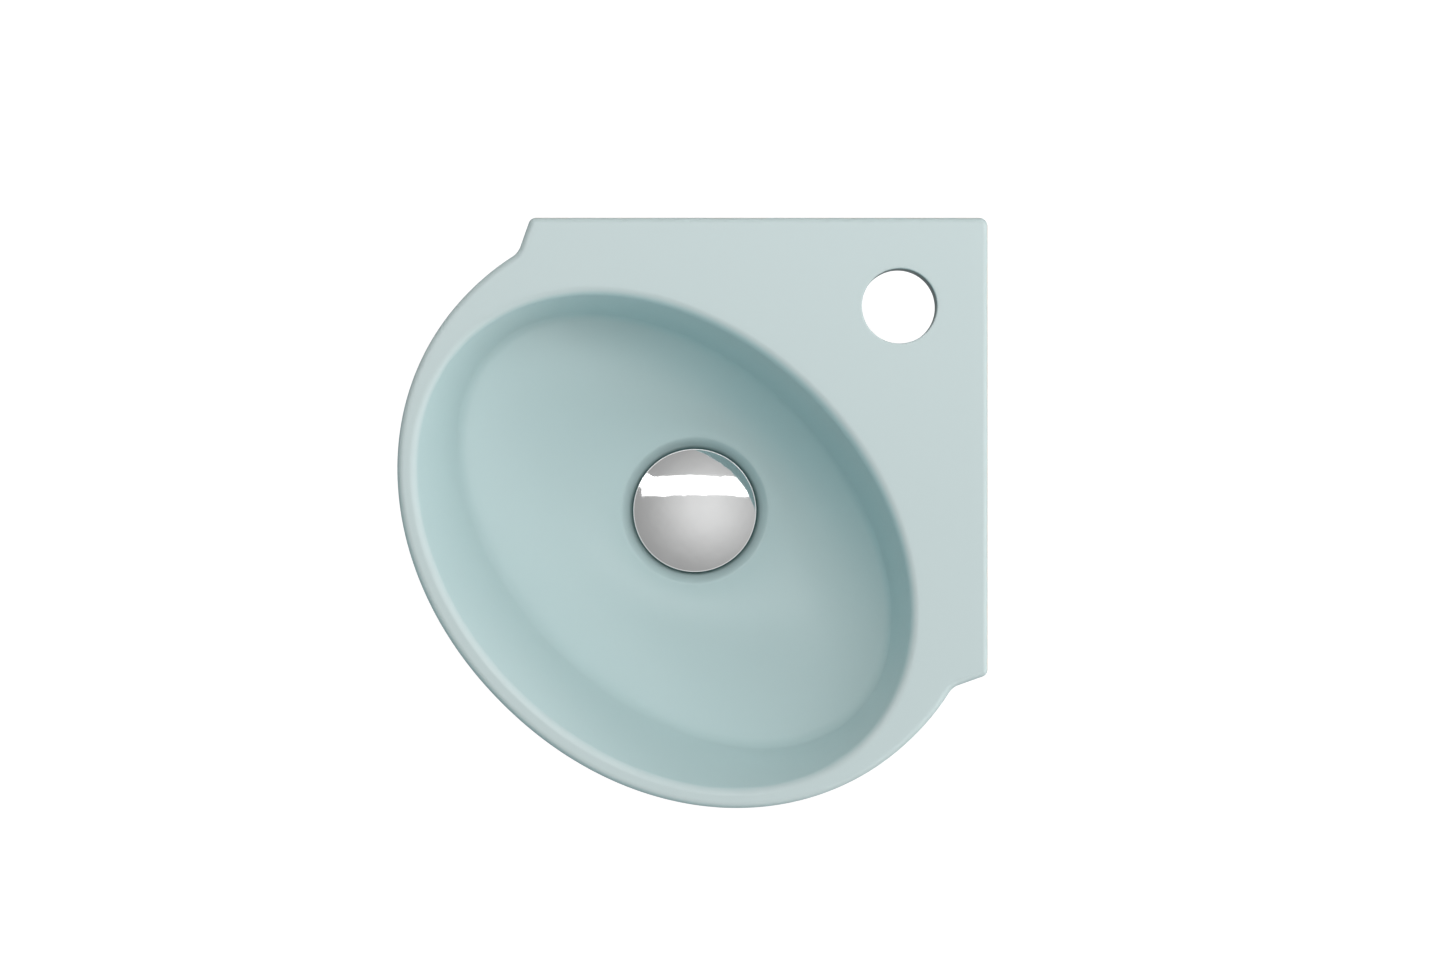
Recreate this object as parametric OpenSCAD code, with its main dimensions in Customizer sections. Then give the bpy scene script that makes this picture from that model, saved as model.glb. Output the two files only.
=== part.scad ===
// Corner hand basin for two walls, with its push-open waste.
// The origin is the centre of the tap hole at the height of the rim.
// +X runs to the right wall, +Y to the back wall and +Z up, all in millimetres.

/* [Basin plan] */
// Distance of the waste axis from each wall
waste_set = 150; // [145:1:160]
// Half length of the outer oval across the corner's diagonal, as a share of that distance
oval_side_share = 1.06533; // [1.03:0.001:1.12]
// Roundness of the oval: 2 is an ellipse, more is squarer
oval_power = 2.05; // [2:0.01:2.4]
// Length of the deck along each wall, as a share of that distance
wall_side_share = 1.54867; // [1.52:0.001:1.6]
// Lean of the ear sides away from the wall's normal, in degrees
ear_slant = 19.5; // [5:0.5:30]
// Plan radius of the ear corners
ear_corner_r = 4; // [2:0.1:6]
// Plan radius of the corner between the two walls
wall_corner_r = 4.5; // [2:0.1:12]
// Plan radius of the hollow where an ear runs into the oval
ear_hollow_r = 10; // [4:0.5:14]

/* [Rim and deck] */
// Thickness of the deck
deck_t = 12; // [9:0.5:18]
// Rounding of the top edge round the oval and the ears
edge_r = 3.8; // [1:0.1:3.9]
// Rounding of the top edge along the walls
wall_edge_r = 2.6; // [1:0.1:3.9]
// Bevel under the ears
ear_bevel = 1.5; // [0.5:0.1:3]

/* [Bowl] */
// How far the bowl's mouth is centred in front of the waste
mouth_shift = 20.7; // [10:0.1:24]
// Width of the rim at the front, from the outer oval to the mouth
rim_front = 10.3; // [8:0.1:20]
// Width of the rim at the sides of the oval
rim_side = 17.2; // [14:0.1:28]
// Rounding between the rim and the bowl wall, at the rear
mouth_rear_r = 4.8; // [3:0.1:7]
// The same rounding at the front
mouth_front_r = 3.2; // [2:0.1:6]
// Depth of the crease, where the wall turns into the dish, at the rear
crease_rear_depth = 70; // [50:0.5:74]
// Depth of the crease at the bowl's long ends
crease_end_depth = 56; // [45:0.5:66]
// How far the crease is centred in front of the waste
crease_shift = 14; // [8:0.1:20]
// How far the wall leans in from the mouth to the crease, at the front
lean_front = 15.9; // [9:0.1:22]
// How far the wall leans in from the mouth to the crease, at the sides
lean_side = 5.6; // [2:0.1:14]
// Reach of the rounding at the crease
crease_r = 4.5; // [3:0.5:12]
// Depth of the bowl at the waste recess
bowl_depth = 95; // [85:0.5:100]
// Radius of the lip round the waste recess
recess_r = 41.2; // [39:0.1:48]
// Depth of the waste recess
recess_depth = 4; // [3:0.1:5]
// Radius of the flat waste seat
seat_r = 33.6; // [33:0.1:38]

/* [Underside] */
// Height of the ceramic body
basin_h = 120; // [114:0.5:122]
// Distance from the mouth to the bowl's rear outside
rear_wall = 17; // [13:0.5:23]
// Squareness of the rear outside: 2 is an ellipse
hull_rear_power = 2.5; // [2:0.05:3]
// Depth at which the outside would close under the bowl
hull_fall = 124; // [122.5:0.5:130]
// Squareness of the outside from top to bottom
hull_power = 2.6; // [2.3:0.05:3.2]
// Rounding between the deck and the outside of the bowl
hull_fillet = 8; // [3:0.5:12]
// Thickness of the two aprons that stand against the walls
apron_t = 14; // [10:0.5:16]
// Height of the aprons, measured from the rim
apron_h = 90; // [70:1:105]
// How far each apron ends before the ear
apron_short = 8.3; // [6:0.1:30]
// Rounding of the aprons' lower ends
apron_end_r = 34; // [10:1:50]
// Rounding inside the corner between the aprons
apron_corner_r = 12; // [4:1:20]

/* [Fixings and tap] */
// Distance of the tap hole from each wall
tap_set = 45; // [40:0.5:52]
// Diameter of the tap hole
tap_hole_d = 38; // [33:0.5:40]
// Bevel round the top of the tap hole
tap_bevel = 0.4; // [0.2:0.1:0.5]
// Distance of the fixing holes from the corner, along each wall
fix_set = 110; // [80:1:130]
// Depth of the fixing holes below the rim
fix_drop = 52; // [40:1:62]
// Diameter of the fixing holes
fix_hole_d = 14; // [10:0.5:16]
// Diameter of the boss round each fixing hole
fix_boss_d = 36; // [26:1:44]
// Height of the boss round each fixing hole
fix_boss_h = 4; // [2:0.5:6]

/* [Waste body] */
// Diameter of the waste hole in the ceramic
waste_hole_d = 46; // [44:0.5:50]
// Outer diameter of the waste's thread
thread_d = 41.9; // [40:0.1:42.5]
// Inner diameter of the waste
waste_bore_d = 36; // [34:0.1:37]
// Diameter of the waste's flange
flange_d = 65; // [60:0.5:67]
// Thickness of the flange at its edge
flange_t = 2.2; // [1.6:0.1:2.6]
// Length of the waste below its flange
waste_len = 86; // [80:1:110]
// Length of the outlet's free thread
outlet_len = 24; // [18:1:27]
// Width of the relief groove above the outlet thread
relief_w = 3; // [2:0.5:5]
// Depth of the relief groove
relief_t = 1.2; // [0.6:0.1:1.6]
// Thickness of the gasket under the flange
flange_gasket_t = 1; // [0.5:0.1:1.5]
// Thickness of the arms that carry the cartridge
spider_t = 6; // [4:0.5:8]
// Width of an arm
spider_w = 3; // [2:0.5:5]
// Diameter of the hub that carries the cartridge
hub_d = 18; // [14:0.5:22]

/* [Waste fastening] */
// Outer diameter of the rubber and plastic washers
washer_d = 62; // [58:0.5:70]
// Thickness of the lower gasket
lower_gasket_t = 5.5; // [4:0.5:8]
// Height of the lower gasket's collar inside the waste hole
gasket_collar_h = 4; // [2:0.5:8]
// Thickness of the slip washer
slip_washer_t = 2; // [1:0.5:3]
// Width of the backnut over its flats
backnut_af = 54; // [50:0.5:60]
// Thickness of the backnut
backnut_t = 8; // [6:0.5:12]

/* [Plug] */
// Diameter of the plug's cap
cap_d = 68; // [66:0.5:70]
// Height of the cap's dome
cap_rise = 5.6; // [3:0.1:8]
// Height of the cap's straight edge
cap_edge = 1.6; // [1:0.1:2.5]
// Thickness of the cap
cap_t = 1.4; // [1:0.1:2]
// Lift of the plug from closed to open
plug_lift = 8; // [6:0.5:9]
// Push below closed that releases the plug
plug_push = 1.5; // [1:0.1:1.6]
// Thickness of the carrier's disc, which is pressed into the cap's edge
carrier_t = 1.2; // [1:0.1:1.2]
// Diameter of the carrier's body in the throat
carrier_body_d = 33; // [30:0.5:33.5]
// Height of the carrier's body below its disc
carrier_body_h = 9.6; // [9:0.1:11]
// Diameter of the boss under the carrier
carrier_boss_d = 16; // [13:0.5:18]
// Height of the boss under the carrier
carrier_boss_h = 3; // [2:0.5:4]
// Height of the seal
seal_h = 2.8; // [2:0.1:3.2]
// Depth of the seal's groove in the carrier
seal_groove = 2.2; // [1:0.1:3]
// Width of the locknut over its flats
locknut_af = 13; // [12:0.5:15]
// Thickness of the locknut
locknut_t = 3; // [2:0.5:4]

/* [Click cartridge] */
// Outer diameter of the cartridge's housing
housing_d = 22; // [20:0.5:24]
// Wall of the cartridge's housing
housing_wall = 2.4; // [1.5:0.1:2.8]
// Thickness of the collar at the top of the housing
collar_t = 4; // [3.5:0.5:5]
// Diameter of the plunger's shaft
shaft_d = 10; // [8:0.5:10.5]
// Diameter of the plunger's thread
stem_thread_d = 8; // [6:0.5:8.5]
// Diameter of the plunger's stub that carries the rotor
stub_d = 6; // [5:0.5:6.5]
// Height of the plunger's guide teeth
driver_h = 4; // [3:0.5:4.5]
// Height of the rotor
rotor_h = 4.5; // [3.5:0.5:5]
// Number of guide ribs, teeth and lugs round the cartridge
rib_count = 4; // [3:1:5]
// Angle that a guide rib takes, in degrees
rib_angle = 26; // [16:1:28]
// Angle that a rotor lug takes, in degrees
lug_angle = 20; // [12:1:24]
// Radial height of the ribs, teeth and lugs
rib_rise = 2; // [1.5:0.1:2.4]
// Slope height at the end of a rib or a lug
ratchet_rise = 1.6; // [0.5:0.1:2]
// Thickness of the base inside the housing
base_t = 6; // [4:0.5:8]
// Diameter of the base's threaded spigot
spigot_d = 10; // [8:0.5:12]
// Length of the spigot below the housing
spigot_h = 7; // [6:0.5:10]
// Diameter of the spring's wire
wire_d = 0.9; // [0.6:0.1:1]
// Length of the spring in the closed plug
spring_h = 12; // [11:0.5:14]
// Turns of the spring
spring_turns = 5; // [4:1:6]
// Diameter of the ring's rubber section
ring_d = 1.8; // [1.4:0.1:2]

/* [Clearances] */
// Gap between soft or faceted pieces that move past each other
free_gap = 0.3; // [0.2:0.05:0.4]
// Radial gap of a shaft that runs in its hole
run_gap = 0.05; // [0.03:0.01:0.09]
// Radial gap of a threaded piece, drawn plain at its outer diameter
thread_gap = 0.05; // [0.03:0.01:0.1]
// Radial gap of washers round the waste
washer_gap = 0.25; // [0.1:0.05:0.5]

/* [Hidden] */
$fn = 72;

// Colours of the materials
glaze_colour = [0.74, 0.81, 0.81];
chrome_colour = [0.86, 0.86, 0.88];
brass_colour = [0.78, 0.66, 0.38];
rubber_colour = [0.12, 0.12, 0.12];
nylon_colour = [0.92, 0.92, 0.9];
steel_colour = [0.66, 0.67, 0.69];

// How far a cut runs past the face that it opens
overrun = 1;
// Steps along half of the oval, an ear hollow, a corner and a wall
oval_steps = 22;
hollow_steps = 4;
corner_steps = 3;
wall_steps = 15;
// Steps of the roundings and stretches from the recess to the underside
edge_steps = 3;
mouth_steps = 4;
crease_steps = 4;
wall_rings = 2;
dish_rings = 7;
fillet_steps = 3;
hull_rings = 9;
// How steeply the dish leaves the crease, and how it flattens to the recess
dish_power = 1.75;
// Share of the deck's thickness that the plain side takes where the deck runs into the oval
side_share = 0.7;
// Width over which the deck's lip grows out of the oval
lip_blend = 5;
// Height shares of the recess wall and how far out each lies
recess_shares = [[0.15, 0.05], [0.3, 0.195], [0.84, 0.896], [0.93, 0.98], [1, 1]];
// How far the flat beside the recess runs before the dish starts
recess_flat = 1.2;

// Halving steps that find where the ear hollow touches the oval, and the angles between which it lies
halvings = 30;
hollow_from = 60;
hollow_to = 140;

// Places along the waste axis
seat_z = -(bowl_depth + recess_depth);
flange_z = seat_z + flange_gasket_t;
flange_top_z = flange_z + flange_t;
waste_end_z = flange_z - waste_len;
under_z = -basin_h;
slip_z = under_z - lower_gasket_t;
backnut_z = slip_z - slip_washer_t - backnut_t;
cap_z = flange_top_z + plug_push + free_gap;
cap_shoulder = cap_t / 4;
carrier_z = cap_z + cap_edge - cap_shoulder - carrier_t;
body_z = carrier_z - carrier_body_h;
boss_z = body_z - carrier_boss_h;
locknut_z = boss_z - locknut_t;
housing_top_z = locknut_z - plug_push - free_gap;
cavity_top_z = housing_top_z - collar_t;
driver_top_z = cavity_top_z - plug_lift - free_gap;
driver_z = driver_top_z - driver_h;
rotor_top_z = driver_z - free_gap;
rotor_z = rotor_top_z - rotor_h;
base_top_z = rotor_z - spring_h;
housing_z = base_top_z - base_t;
spider_z = housing_z - spider_t;
seal_z = body_z + (carrier_body_h - seal_h) / 4;
throat_z = seal_z + seal_h + free_gap;
relief_z = waste_end_z + outlet_len;

// Radii that fits give
throat_r = waste_bore_d / 2;
thread_r = thread_d / 2;
shaft_r = shaft_d / 2;
housing_r = housing_d / 2;
cavity_r = housing_r - housing_wall;
rib_r = cavity_r - rib_rise;
lug_r = cavity_r - free_gap;
core_r = rib_r - free_gap;
seal_r = throat_r - free_gap;
ring_centre_r = shaft_r + run_gap + ring_d / 2;
cap_r = cap_d / 2;
stem_top_z = carrier_z;
// Angle of a guide tooth between two ribs
driver_angle = 360 / rib_count - rib_angle - 4 * asin(free_gap / lug_r);

// Places in plan, measured from the waste axis along the diagonal and across it
root_two = sqrt(2);
corner_f = -waste_set * root_two;
support_power = oval_power / (oval_power - 1);
oval_side = waste_set * oval_side_share;
wall_side = waste_set * wall_side_share;
oval_front = pow(pow(waste_set * root_two, support_power) - pow(oval_side, support_power),
    1 / support_power);
mouth_front = oval_front - rim_front - mouth_shift;
mouth_side = oval_side - rim_side;
crease_front = mouth_front - lean_front;
crease_side = mouth_side - lean_side;
hull_rear = mouth_front - mouth_shift + rear_wall;
apron_reach = wall_side - apron_short;
waste_x = tap_set - waste_set;

function unit(a) = [cos(a), sin(a)];
function signed_power(x, p) = sign(x) * pow(abs(x), p);
function turn_of(p) = atan2(p[1], p[0]);

// A point of the oval and the direction of its normal
function oval_point(a) = [oval_front * signed_power(cos(a), 2 / oval_power),
    oval_side * signed_power(sin(a), 2 / oval_power)];
function oval_normal(a) = atan2(signed_power(sin(a), 2 - 2 / oval_power) / oval_side,
    signed_power(cos(a), 2 - 2 / oval_power) / oval_front);

// The ear's theoretical corner, its side and the circle in the hollow beside it
ear_point = [corner_f, 0] + wall_side * unit(45);
ear_normal = 45 + ear_slant;
function hollow_centre(a) = oval_point(a) + ear_hollow_r * unit(oval_normal(a));
function hollow_miss(a) = (hollow_centre(a) - ear_point) * unit(ear_normal) - ear_hollow_r;
function hollow_angle(low, high, left) = let (middle = (low + high) / 2)
    left == 0 ? middle
    : hollow_miss(middle) > 0 ? hollow_angle(middle, high, left - 1)
    : hollow_angle(low, middle, left - 1);
hollow_a = hollow_angle(hollow_from, hollow_to, halvings);
hollow_c = hollow_centre(hollow_a);

// Circles in the ear corner and in the corner between the walls
wall_normal = 135;
ear_half = (wall_normal - ear_normal) / 2;
ear_c = ear_point - ear_corner_r / cos(ear_half) * unit(ear_normal + ear_half);
wall_c = [corner_f + wall_corner_r * root_two, 0];
wall_start = ear_c + ear_corner_r * unit(wall_normal);
wall_end = wall_c + wall_corner_r * unit(wall_normal);

// One side of the deck's outline from the front to the wall corner. Each entry holds a point,
// its normal, the top rounding there and the bevel under it
half_outline = concat(
    [for (i = [0 : oval_steps]) let (a = hollow_a * i / oval_steps)
        [oval_point(a), oval_normal(a), edge_r, 0]],
    [for (i = [1 : hollow_steps])
        let (b = oval_normal(hollow_a) + (ear_normal - oval_normal(hollow_a)) * i / hollow_steps)
        [hollow_c - ear_hollow_r * unit(b), b, edge_r, ear_bevel * i / hollow_steps]],
    [for (i = [0 : corner_steps]) let (s = i / corner_steps, b = ear_normal + 2 * ear_half * s)
        [ear_c + ear_corner_r * unit(b), b, edge_r + (wall_edge_r - edge_r) * s,
            ear_bevel * (1 - s)]],
    [for (i = [1 : wall_steps]) let (s = i / wall_steps)
        [wall_start + (wall_end - wall_start) * s, wall_normal, wall_edge_r, 0]],
    [for (i = [1 : corner_steps]) let (b = wall_normal + (180 - wall_normal) * i / corner_steps)
        [wall_c + wall_corner_r * unit(b), b, wall_edge_r, 0]]);
function mirrored(e) = [[e[0][0], -e[0][1]], -e[1], e[2], e[3]];
outline = concat(half_outline,
    [for (i = [len(half_outline) - 2 : -1 : 1]) mirrored(half_outline[i])]);
count = len(outline);
turns = [for (e = outline) turn_of(e[0])];
reach = [for (e = outline) norm(e[0])];

// Distance from the waste axis to an ellipse that is centred some way along the diagonal
function ellipse_ray(shift, front, side, a) =
    let (square = pow(cos(a) / front, 2) + pow(sin(a) / side, 2), line = shift * cos(a) / pow(front, 2))
    (line + sqrt(pow(line, 2) - square * (pow(shift / front, 2) - 1))) / square;

// Distance to the outside of the bowl at a depth below the rim, before the outline limits it
function hull_share(depth) = pow(1 - pow(depth / hull_fall, hull_power), 1 / hull_power);
function hull_ray(a) = let (front = cos(a) >= 0, p = front ? oval_power : hull_rear_power)
    pow(pow(abs(cos(a)) / (front ? oval_front : hull_rear), p) + pow(abs(sin(a)) / oval_side, p), -1 / p);
hull_reach = [for (i = [0 : count - 1]) min(hull_ray(turns[i]), reach[i])];
lip = [for (i = [0 : count - 1]) reach[i] - hull_reach[i]];
side_z = [for (i = [0 : count - 1])
    -deck_t * (side_share + (1 - side_share) * min(1, lip[i] / lip_blend))];

function at(i, distance, z) = [distance * cos(turns[i]), distance * sin(turns[i]), z];
function blend(a, b, s) = a + (b - a) * s;

// Reach and depth of the crease, and the mouth's rounding, at each turn
crease_near = crease_front - crease_shift;
crease_reach = [for (a = turns) ellipse_ray(crease_shift, crease_front, crease_side, a)];
crease_depth = [for (r = crease_reach)
    blend(crease_rear_depth, crease_end_depth, (r - crease_near) / (crease_side - crease_near))];
mouth_r = [for (a = turns) blend(mouth_front_r, mouth_rear_r, (1 - cos(a)) / 2)];

// The wall of the bowl from its sharp mouth to the crease, s from 0 to 1, as distance and height
function wall_at(i, s) = [
    ellipse_ray(blend(mouth_shift, crease_shift, s), blend(mouth_front, crease_front, s),
        blend(mouth_side, crease_side, s), turns[i]),
    -crease_depth[i] * s];
// The dish from the crease to the flat beside the recess, s from 0 to 1
function dish_at(i, s) = [
    blend(crease_reach[i], recess_r + recess_flat, s),
    -blend(bowl_depth, crease_depth[i], pow(1 - s, dish_power))];
// The rounding at the crease: a curve drawn by the crease and a point to each side of it
function crease_at(i, s) =
    let (up = wall_at(i, 1 - crease_r / crease_depth[i]), middle = wall_at(i, 1),
        down = dish_at(i, crease_share(i)))
    blend(blend(up, middle, s), blend(middle, down, s), s);
function crease_share(i) = crease_r / (crease_reach[i] - recess_r - recess_flat);

function ring(f) = [for (i = [0 : count - 1]) let (p = f(i)) at(i, p[0], p[1])];
function edge_ring(inset_share, drop_share) = [for (e = outline)
    let (p = e[0] - e[2] * inset_share * unit(e[1])) [p[0], p[1], -e[2] * drop_share]];

recess_run = recess_r - seat_r;
casting_rings = concat(
    [ring(function (i) [seat_r, seat_z])],
    [for (p = recess_shares) ring(function (i)
        [seat_r + recess_run * p[0], seat_z + recess_depth * p[1]])],
    [for (k = [0 : dish_rings - 1]) ring(function (i)
        dish_at(i, blend(1, crease_share(i), k / dish_rings)))],
    [for (k = [crease_steps : -1 : 0]) ring(function (i) crease_at(i, k / crease_steps))],
    [for (k = [wall_rings : -1 : 1]) ring(function (i)
        wall_at(i, blend(mouth_r[i], crease_depth[i] - crease_r, k / (wall_rings + 1)) / crease_depth[i]))],
    [for (k = [mouth_steps : -1 : 0]) let (a = 90 * k / mouth_steps) ring(function (i)
        let (drop = mouth_r[i] * (1 - cos(a)), out = mouth_r[i] * (1 - sin(a)), s = drop / crease_depth[i])
        [ellipse_ray(blend(mouth_shift, crease_shift, s), blend(mouth_front, crease_front, s) + out,
            blend(mouth_side, crease_side, s) + out, turns[i]), -drop])],
    [for (k = [0 : edge_steps]) let (a = 90 * k / edge_steps) edge_ring(1 - sin(a), 1 - cos(a))],
    [[for (i = [0 : count - 1]) let (e = outline[i])
        [e[0][0], e[0][1], side_z[i] + ear_bevel]]],
    [[for (i = [0 : count - 1]) let (e = outline[i], p = e[0] - e[3] * unit(e[1]))
        [p[0], p[1], side_z[i]]]],
    [for (k = [0 : fillet_steps]) let (a = 90 * k / fillet_steps) ring(function (i)
        let (grow = lip[i] * hull_fillet / (lip[i] + hull_fillet),
            depth = deck_t + hull_fillet * (1 - cos(a)))
        [hull_reach[i] * hull_share(depth) + grow * (1 - sin(a)), -depth])],
    [for (k = [1 : hull_rings]) let (depth = blend(deck_t + hull_fillet, basin_h, sin(90 * k / hull_rings)))
        ring(function (i) [hull_reach[i] * hull_share(depth), -depth])]);

// Closes a stack of rings of the same count, top cap first
module ring_solid(rings) {
    n = len(rings[0]);
    last = len(rings) - 1;
    polyhedron(
        points = [for (r = rings) for (p = r) p],
        faces = concat(
            [[for (i = [n - 1 : -1 : 0]) i]],
            [for (k = [0 : last - 1]) for (i = [0 : n - 1]) let (j = (i + 1) % n)
                [k * n + i, k * n + j, (k + 1) * n + j]],
            [for (k = [0 : last - 1]) for (i = [0 : n - 1]) let (j = (i + 1) % n)
                [k * n + i, (k + 1) * n + j, (k + 1) * n + i]],
            [[for (i = [0 : n - 1]) last * n + i]]));
}

// Puts a piece that is drawn round the waste axis in its place
module on_waste() {
    translate([waste_x, waste_x, 0])
        children();
}

// Does for the right wall and, mirrored about the diagonal, for the back wall
module on_both_walls() {
    children();
    mirror([1, -1, 0])
        children();
}

// The L of the two aprons in plan, in the frame of the tap hole
function apron_arc(c, r, from, to) = [for (k = [0 : corner_steps])
    c + r * unit(blend(from, to, k / corner_steps))];
apron_outer_r = wall_corner_r + wall_edge_r;
module apron_plan() {
    w = tap_set;
    inner = w - apron_t;
    far = w - apron_reach;
    polygon(concat(
        [[w, far]],
        apron_arc([w - apron_outer_r, w - apron_outer_r], apron_outer_r, 0, 90),
        [[far, w], [far, inner]],
        apron_arc([inner - apron_corner_r, inner - apron_corner_r], apron_corner_r, 90, 0),
        [[inner, far]]));
}

// What is cut from the lower end of an apron to round it
module apron_end_cut() {
    steps = 4 * corner_steps;
    y = tap_set - apron_reach;
    translate([tap_set - apron_t - overrun, 0, 0])
        rotate([90, 0, 90])
            linear_extrude(height = apron_t + 2 * overrun)
                polygon(concat(
                    [[y - overrun, -apron_h - overrun]],
                    [[y + apron_end_r, -apron_h - overrun]],
                    [for (k = [0 : steps]) [y + apron_end_r, apron_end_r - apron_h]
                        + apron_end_r * unit(-90 - 90 * k / steps)],
                    [[y - overrun, apron_end_r - apron_h]]));
}

module fixing_place(depth) {
    translate([tap_set - depth, tap_set - fix_set, -fix_drop])
        rotate([0, 90, 0])
            children();
}

module basin() {
    color(glaze_colour)
        difference() {
            union() {
                on_waste()
                    rotate([0, 0, 225])
                        ring_solid(casting_rings);
                difference() {
                    translate([0, 0, -apron_h])
                        linear_extrude(height = apron_h - deck_t / 2)
                            apron_plan();
                    on_both_walls()
                        apron_end_cut();
                }
                on_both_walls()
                    fixing_place(apron_t + fix_boss_h)
                        cylinder(h = fix_boss_h + overrun, d = fix_boss_d);
            }
            translate([0, 0, -deck_t - overrun])
                cylinder(h = deck_t + 2 * overrun, d = tap_hole_d);
            translate([0, 0, -tap_bevel])
                cylinder(h = 2 * tap_bevel, d1 = tap_hole_d, d2 = tap_hole_d + 4 * tap_bevel);
            on_waste()
                translate([0, 0, under_z - overrun])
                    cylinder(h = basin_h, d = waste_hole_d);
            on_both_walls()
                fixing_place(apron_t + fix_boss_h + overrun)
                    cylinder(h = apron_t + fix_boss_h + 2 * overrun, d = fix_hole_d);
        }
}

// A ring of rectangular section round the waste axis
module washer(inner_r, outer_r, z, h) {
    translate([0, 0, z])
        difference() {
            cylinder(h = h, r = outer_r);
            translate([0, 0, -overrun])
                cylinder(h = h + 2 * overrun, r = inner_r);
        }
}

// A hexagonal nut with bevelled corners
module hex_nut(af, h, bore_r) {
    corner_r = af / sqrt(3);
    drop = (corner_r - af / 2) / root_two;
    difference() {
        intersection() {
            cylinder(h = h, r = corner_r, $fn = 6);
            rotate_extrude()
                polygon([[0, 0], [af / 2, 0], [corner_r, drop], [corner_r, h - drop], [af / 2, h], [0, h]]);
        }
        translate([0, 0, -overrun])
            cylinder(h = h + 2 * overrun, r = bore_r);
    }
}

// A sector of a ring, centred on the +X direction, with a sloped lower or upper end
module tooth(inner_r, outer_r, angle, z, h, slope_low, slope_high) {
    half = outer_r * sin(angle / 2) + free_gap;
    intersection() {
        washer(inner_r, outer_r, z, h);
        translate([0, 0, z - overrun])
            linear_extrude(height = h + 2 * overrun)
                polygon([[0, 0], 2 * outer_r * unit(-angle / 2), 2 * outer_r * unit(angle / 2)]);
        translate([inner_r / 2, 0, 0])
            rotate([90, 0, 90])
                linear_extrude(height = outer_r)
                    polygon([[-half, z], [half, z + slope_low], [half, z + h],
                        [-half, z + h - slope_high]]);
    }
}

module round_the_cartridge(offset) {
    for (k = [0 : rib_count - 1])
        rotate([0, 0, offset + 360 * k / rib_count])
            children();
}

module waste_body() {
    flange_r = flange_d / 2;
    bevel = flange_t / 3;
    mouth = throat_r + 2 * flange_t;
    color(chrome_colour)
        on_waste() {
            rotate_extrude()
                polygon([[throat_r, waste_end_z + bevel], [throat_r + bevel, waste_end_z],
                    [thread_r - bevel, waste_end_z], [thread_r, waste_end_z + bevel],
                    [thread_r, relief_z], [thread_r - relief_t, relief_z],
                    [thread_r - relief_t, relief_z + relief_w], [thread_r, relief_z + relief_w],
                    [thread_r, flange_z], [flange_r - bevel, flange_z],
                    [flange_r, flange_z + bevel], [flange_r, flange_top_z - bevel],
                    [flange_r - bevel, flange_top_z], [mouth, flange_top_z - bevel],
                    [throat_r, throat_z]]);
            difference() {
                union() {
                    translate([0, 0, spider_z])
                        cylinder(h = spider_t, d = hub_d);
                    for (a = [45, 135])
                        rotate([0, 0, a])
                            translate([-throat_r - (thread_r - throat_r) / 2, -spider_w / 2, spider_z])
                                cube([throat_r + thread_r, spider_w, spider_t]);
                }
                translate([0, 0, spider_z - overrun])
                    cylinder(h = spider_t + 2 * overrun, r = spigot_d / 2 + thread_gap);
            }
        }
}

module flange_gasket() {
    color(rubber_colour)
        on_waste()
            washer(waste_hole_d / 2, flange_d / 2 - flange_t / 2, seat_z, flange_gasket_t);
}

module lower_gasket() {
    inner = thread_r + washer_gap;
    collar = waste_hole_d / 2 - washer_gap;
    taper = gasket_collar_h / 4;
    color(rubber_colour)
        on_waste()
            rotate_extrude()
                polygon([[inner, slip_z], [washer_d / 2 - taper, slip_z],
                    [washer_d / 2, slip_z + taper], [washer_d / 2, under_z - taper],
                    [washer_d / 2 - taper, under_z], [collar, under_z],
                    [collar, under_z + gasket_collar_h - taper],
                    [collar - taper, under_z + gasket_collar_h], [inner, under_z + gasket_collar_h]]);
}

module slip_washer() {
    color(nylon_colour)
        on_waste()
            washer(thread_r + washer_gap, washer_d / 2, slip_z - slip_washer_t, slip_washer_t);
}

module backnut() {
    color(brass_colour)
        on_waste()
            translate([0, 0, backnut_z])
                hex_nut(backnut_af, backnut_t, thread_r + thread_gap);
}

module click_housing() {
    ring_groove_r = ring_centre_r + ring_d / 2 + run_gap;
    ring_z = cavity_top_z + collar_t / 2;
    bevel = housing_wall / 3;
    color(nylon_colour)
        on_waste() {
            difference() {
                rotate_extrude()
                    polygon([[cavity_r, housing_z], [housing_r, housing_z],
                        [housing_r, housing_top_z - bevel], [housing_r - bevel, housing_top_z],
                        [shaft_r + run_gap, housing_top_z], [shaft_r + run_gap, cavity_top_z],
                        [cavity_r, cavity_top_z]]);
                washer(shaft_r, ring_groove_r, ring_z - ring_d / 2 - run_gap, ring_d + 2 * run_gap);
            }
            round_the_cartridge(180 / rib_count)
                tooth(rib_r, cavity_r + bevel, rib_angle, rotor_top_z + free_gap,
                    cavity_top_z - rotor_top_z - free_gap + bevel, ratchet_rise, 0);
        }
}

module click_base() {
    pilot_r = stub_d / 2;
    bevel = base_t / 8;
    color(brass_colour)
        on_waste()
            rotate_extrude()
                polygon([[0, housing_z - spigot_h], [spigot_d / 2 - bevel, housing_z - spigot_h],
                    [spigot_d / 2, housing_z - spigot_h + bevel], [spigot_d / 2, housing_z],
                    [cavity_r - thread_gap, housing_z],
                    [cavity_r - thread_gap, base_top_z], [pilot_r, base_top_z],
                    [pilot_r - bevel, base_top_z + 2 * bevel], [0, base_top_z + 2 * bevel]]);
}

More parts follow.
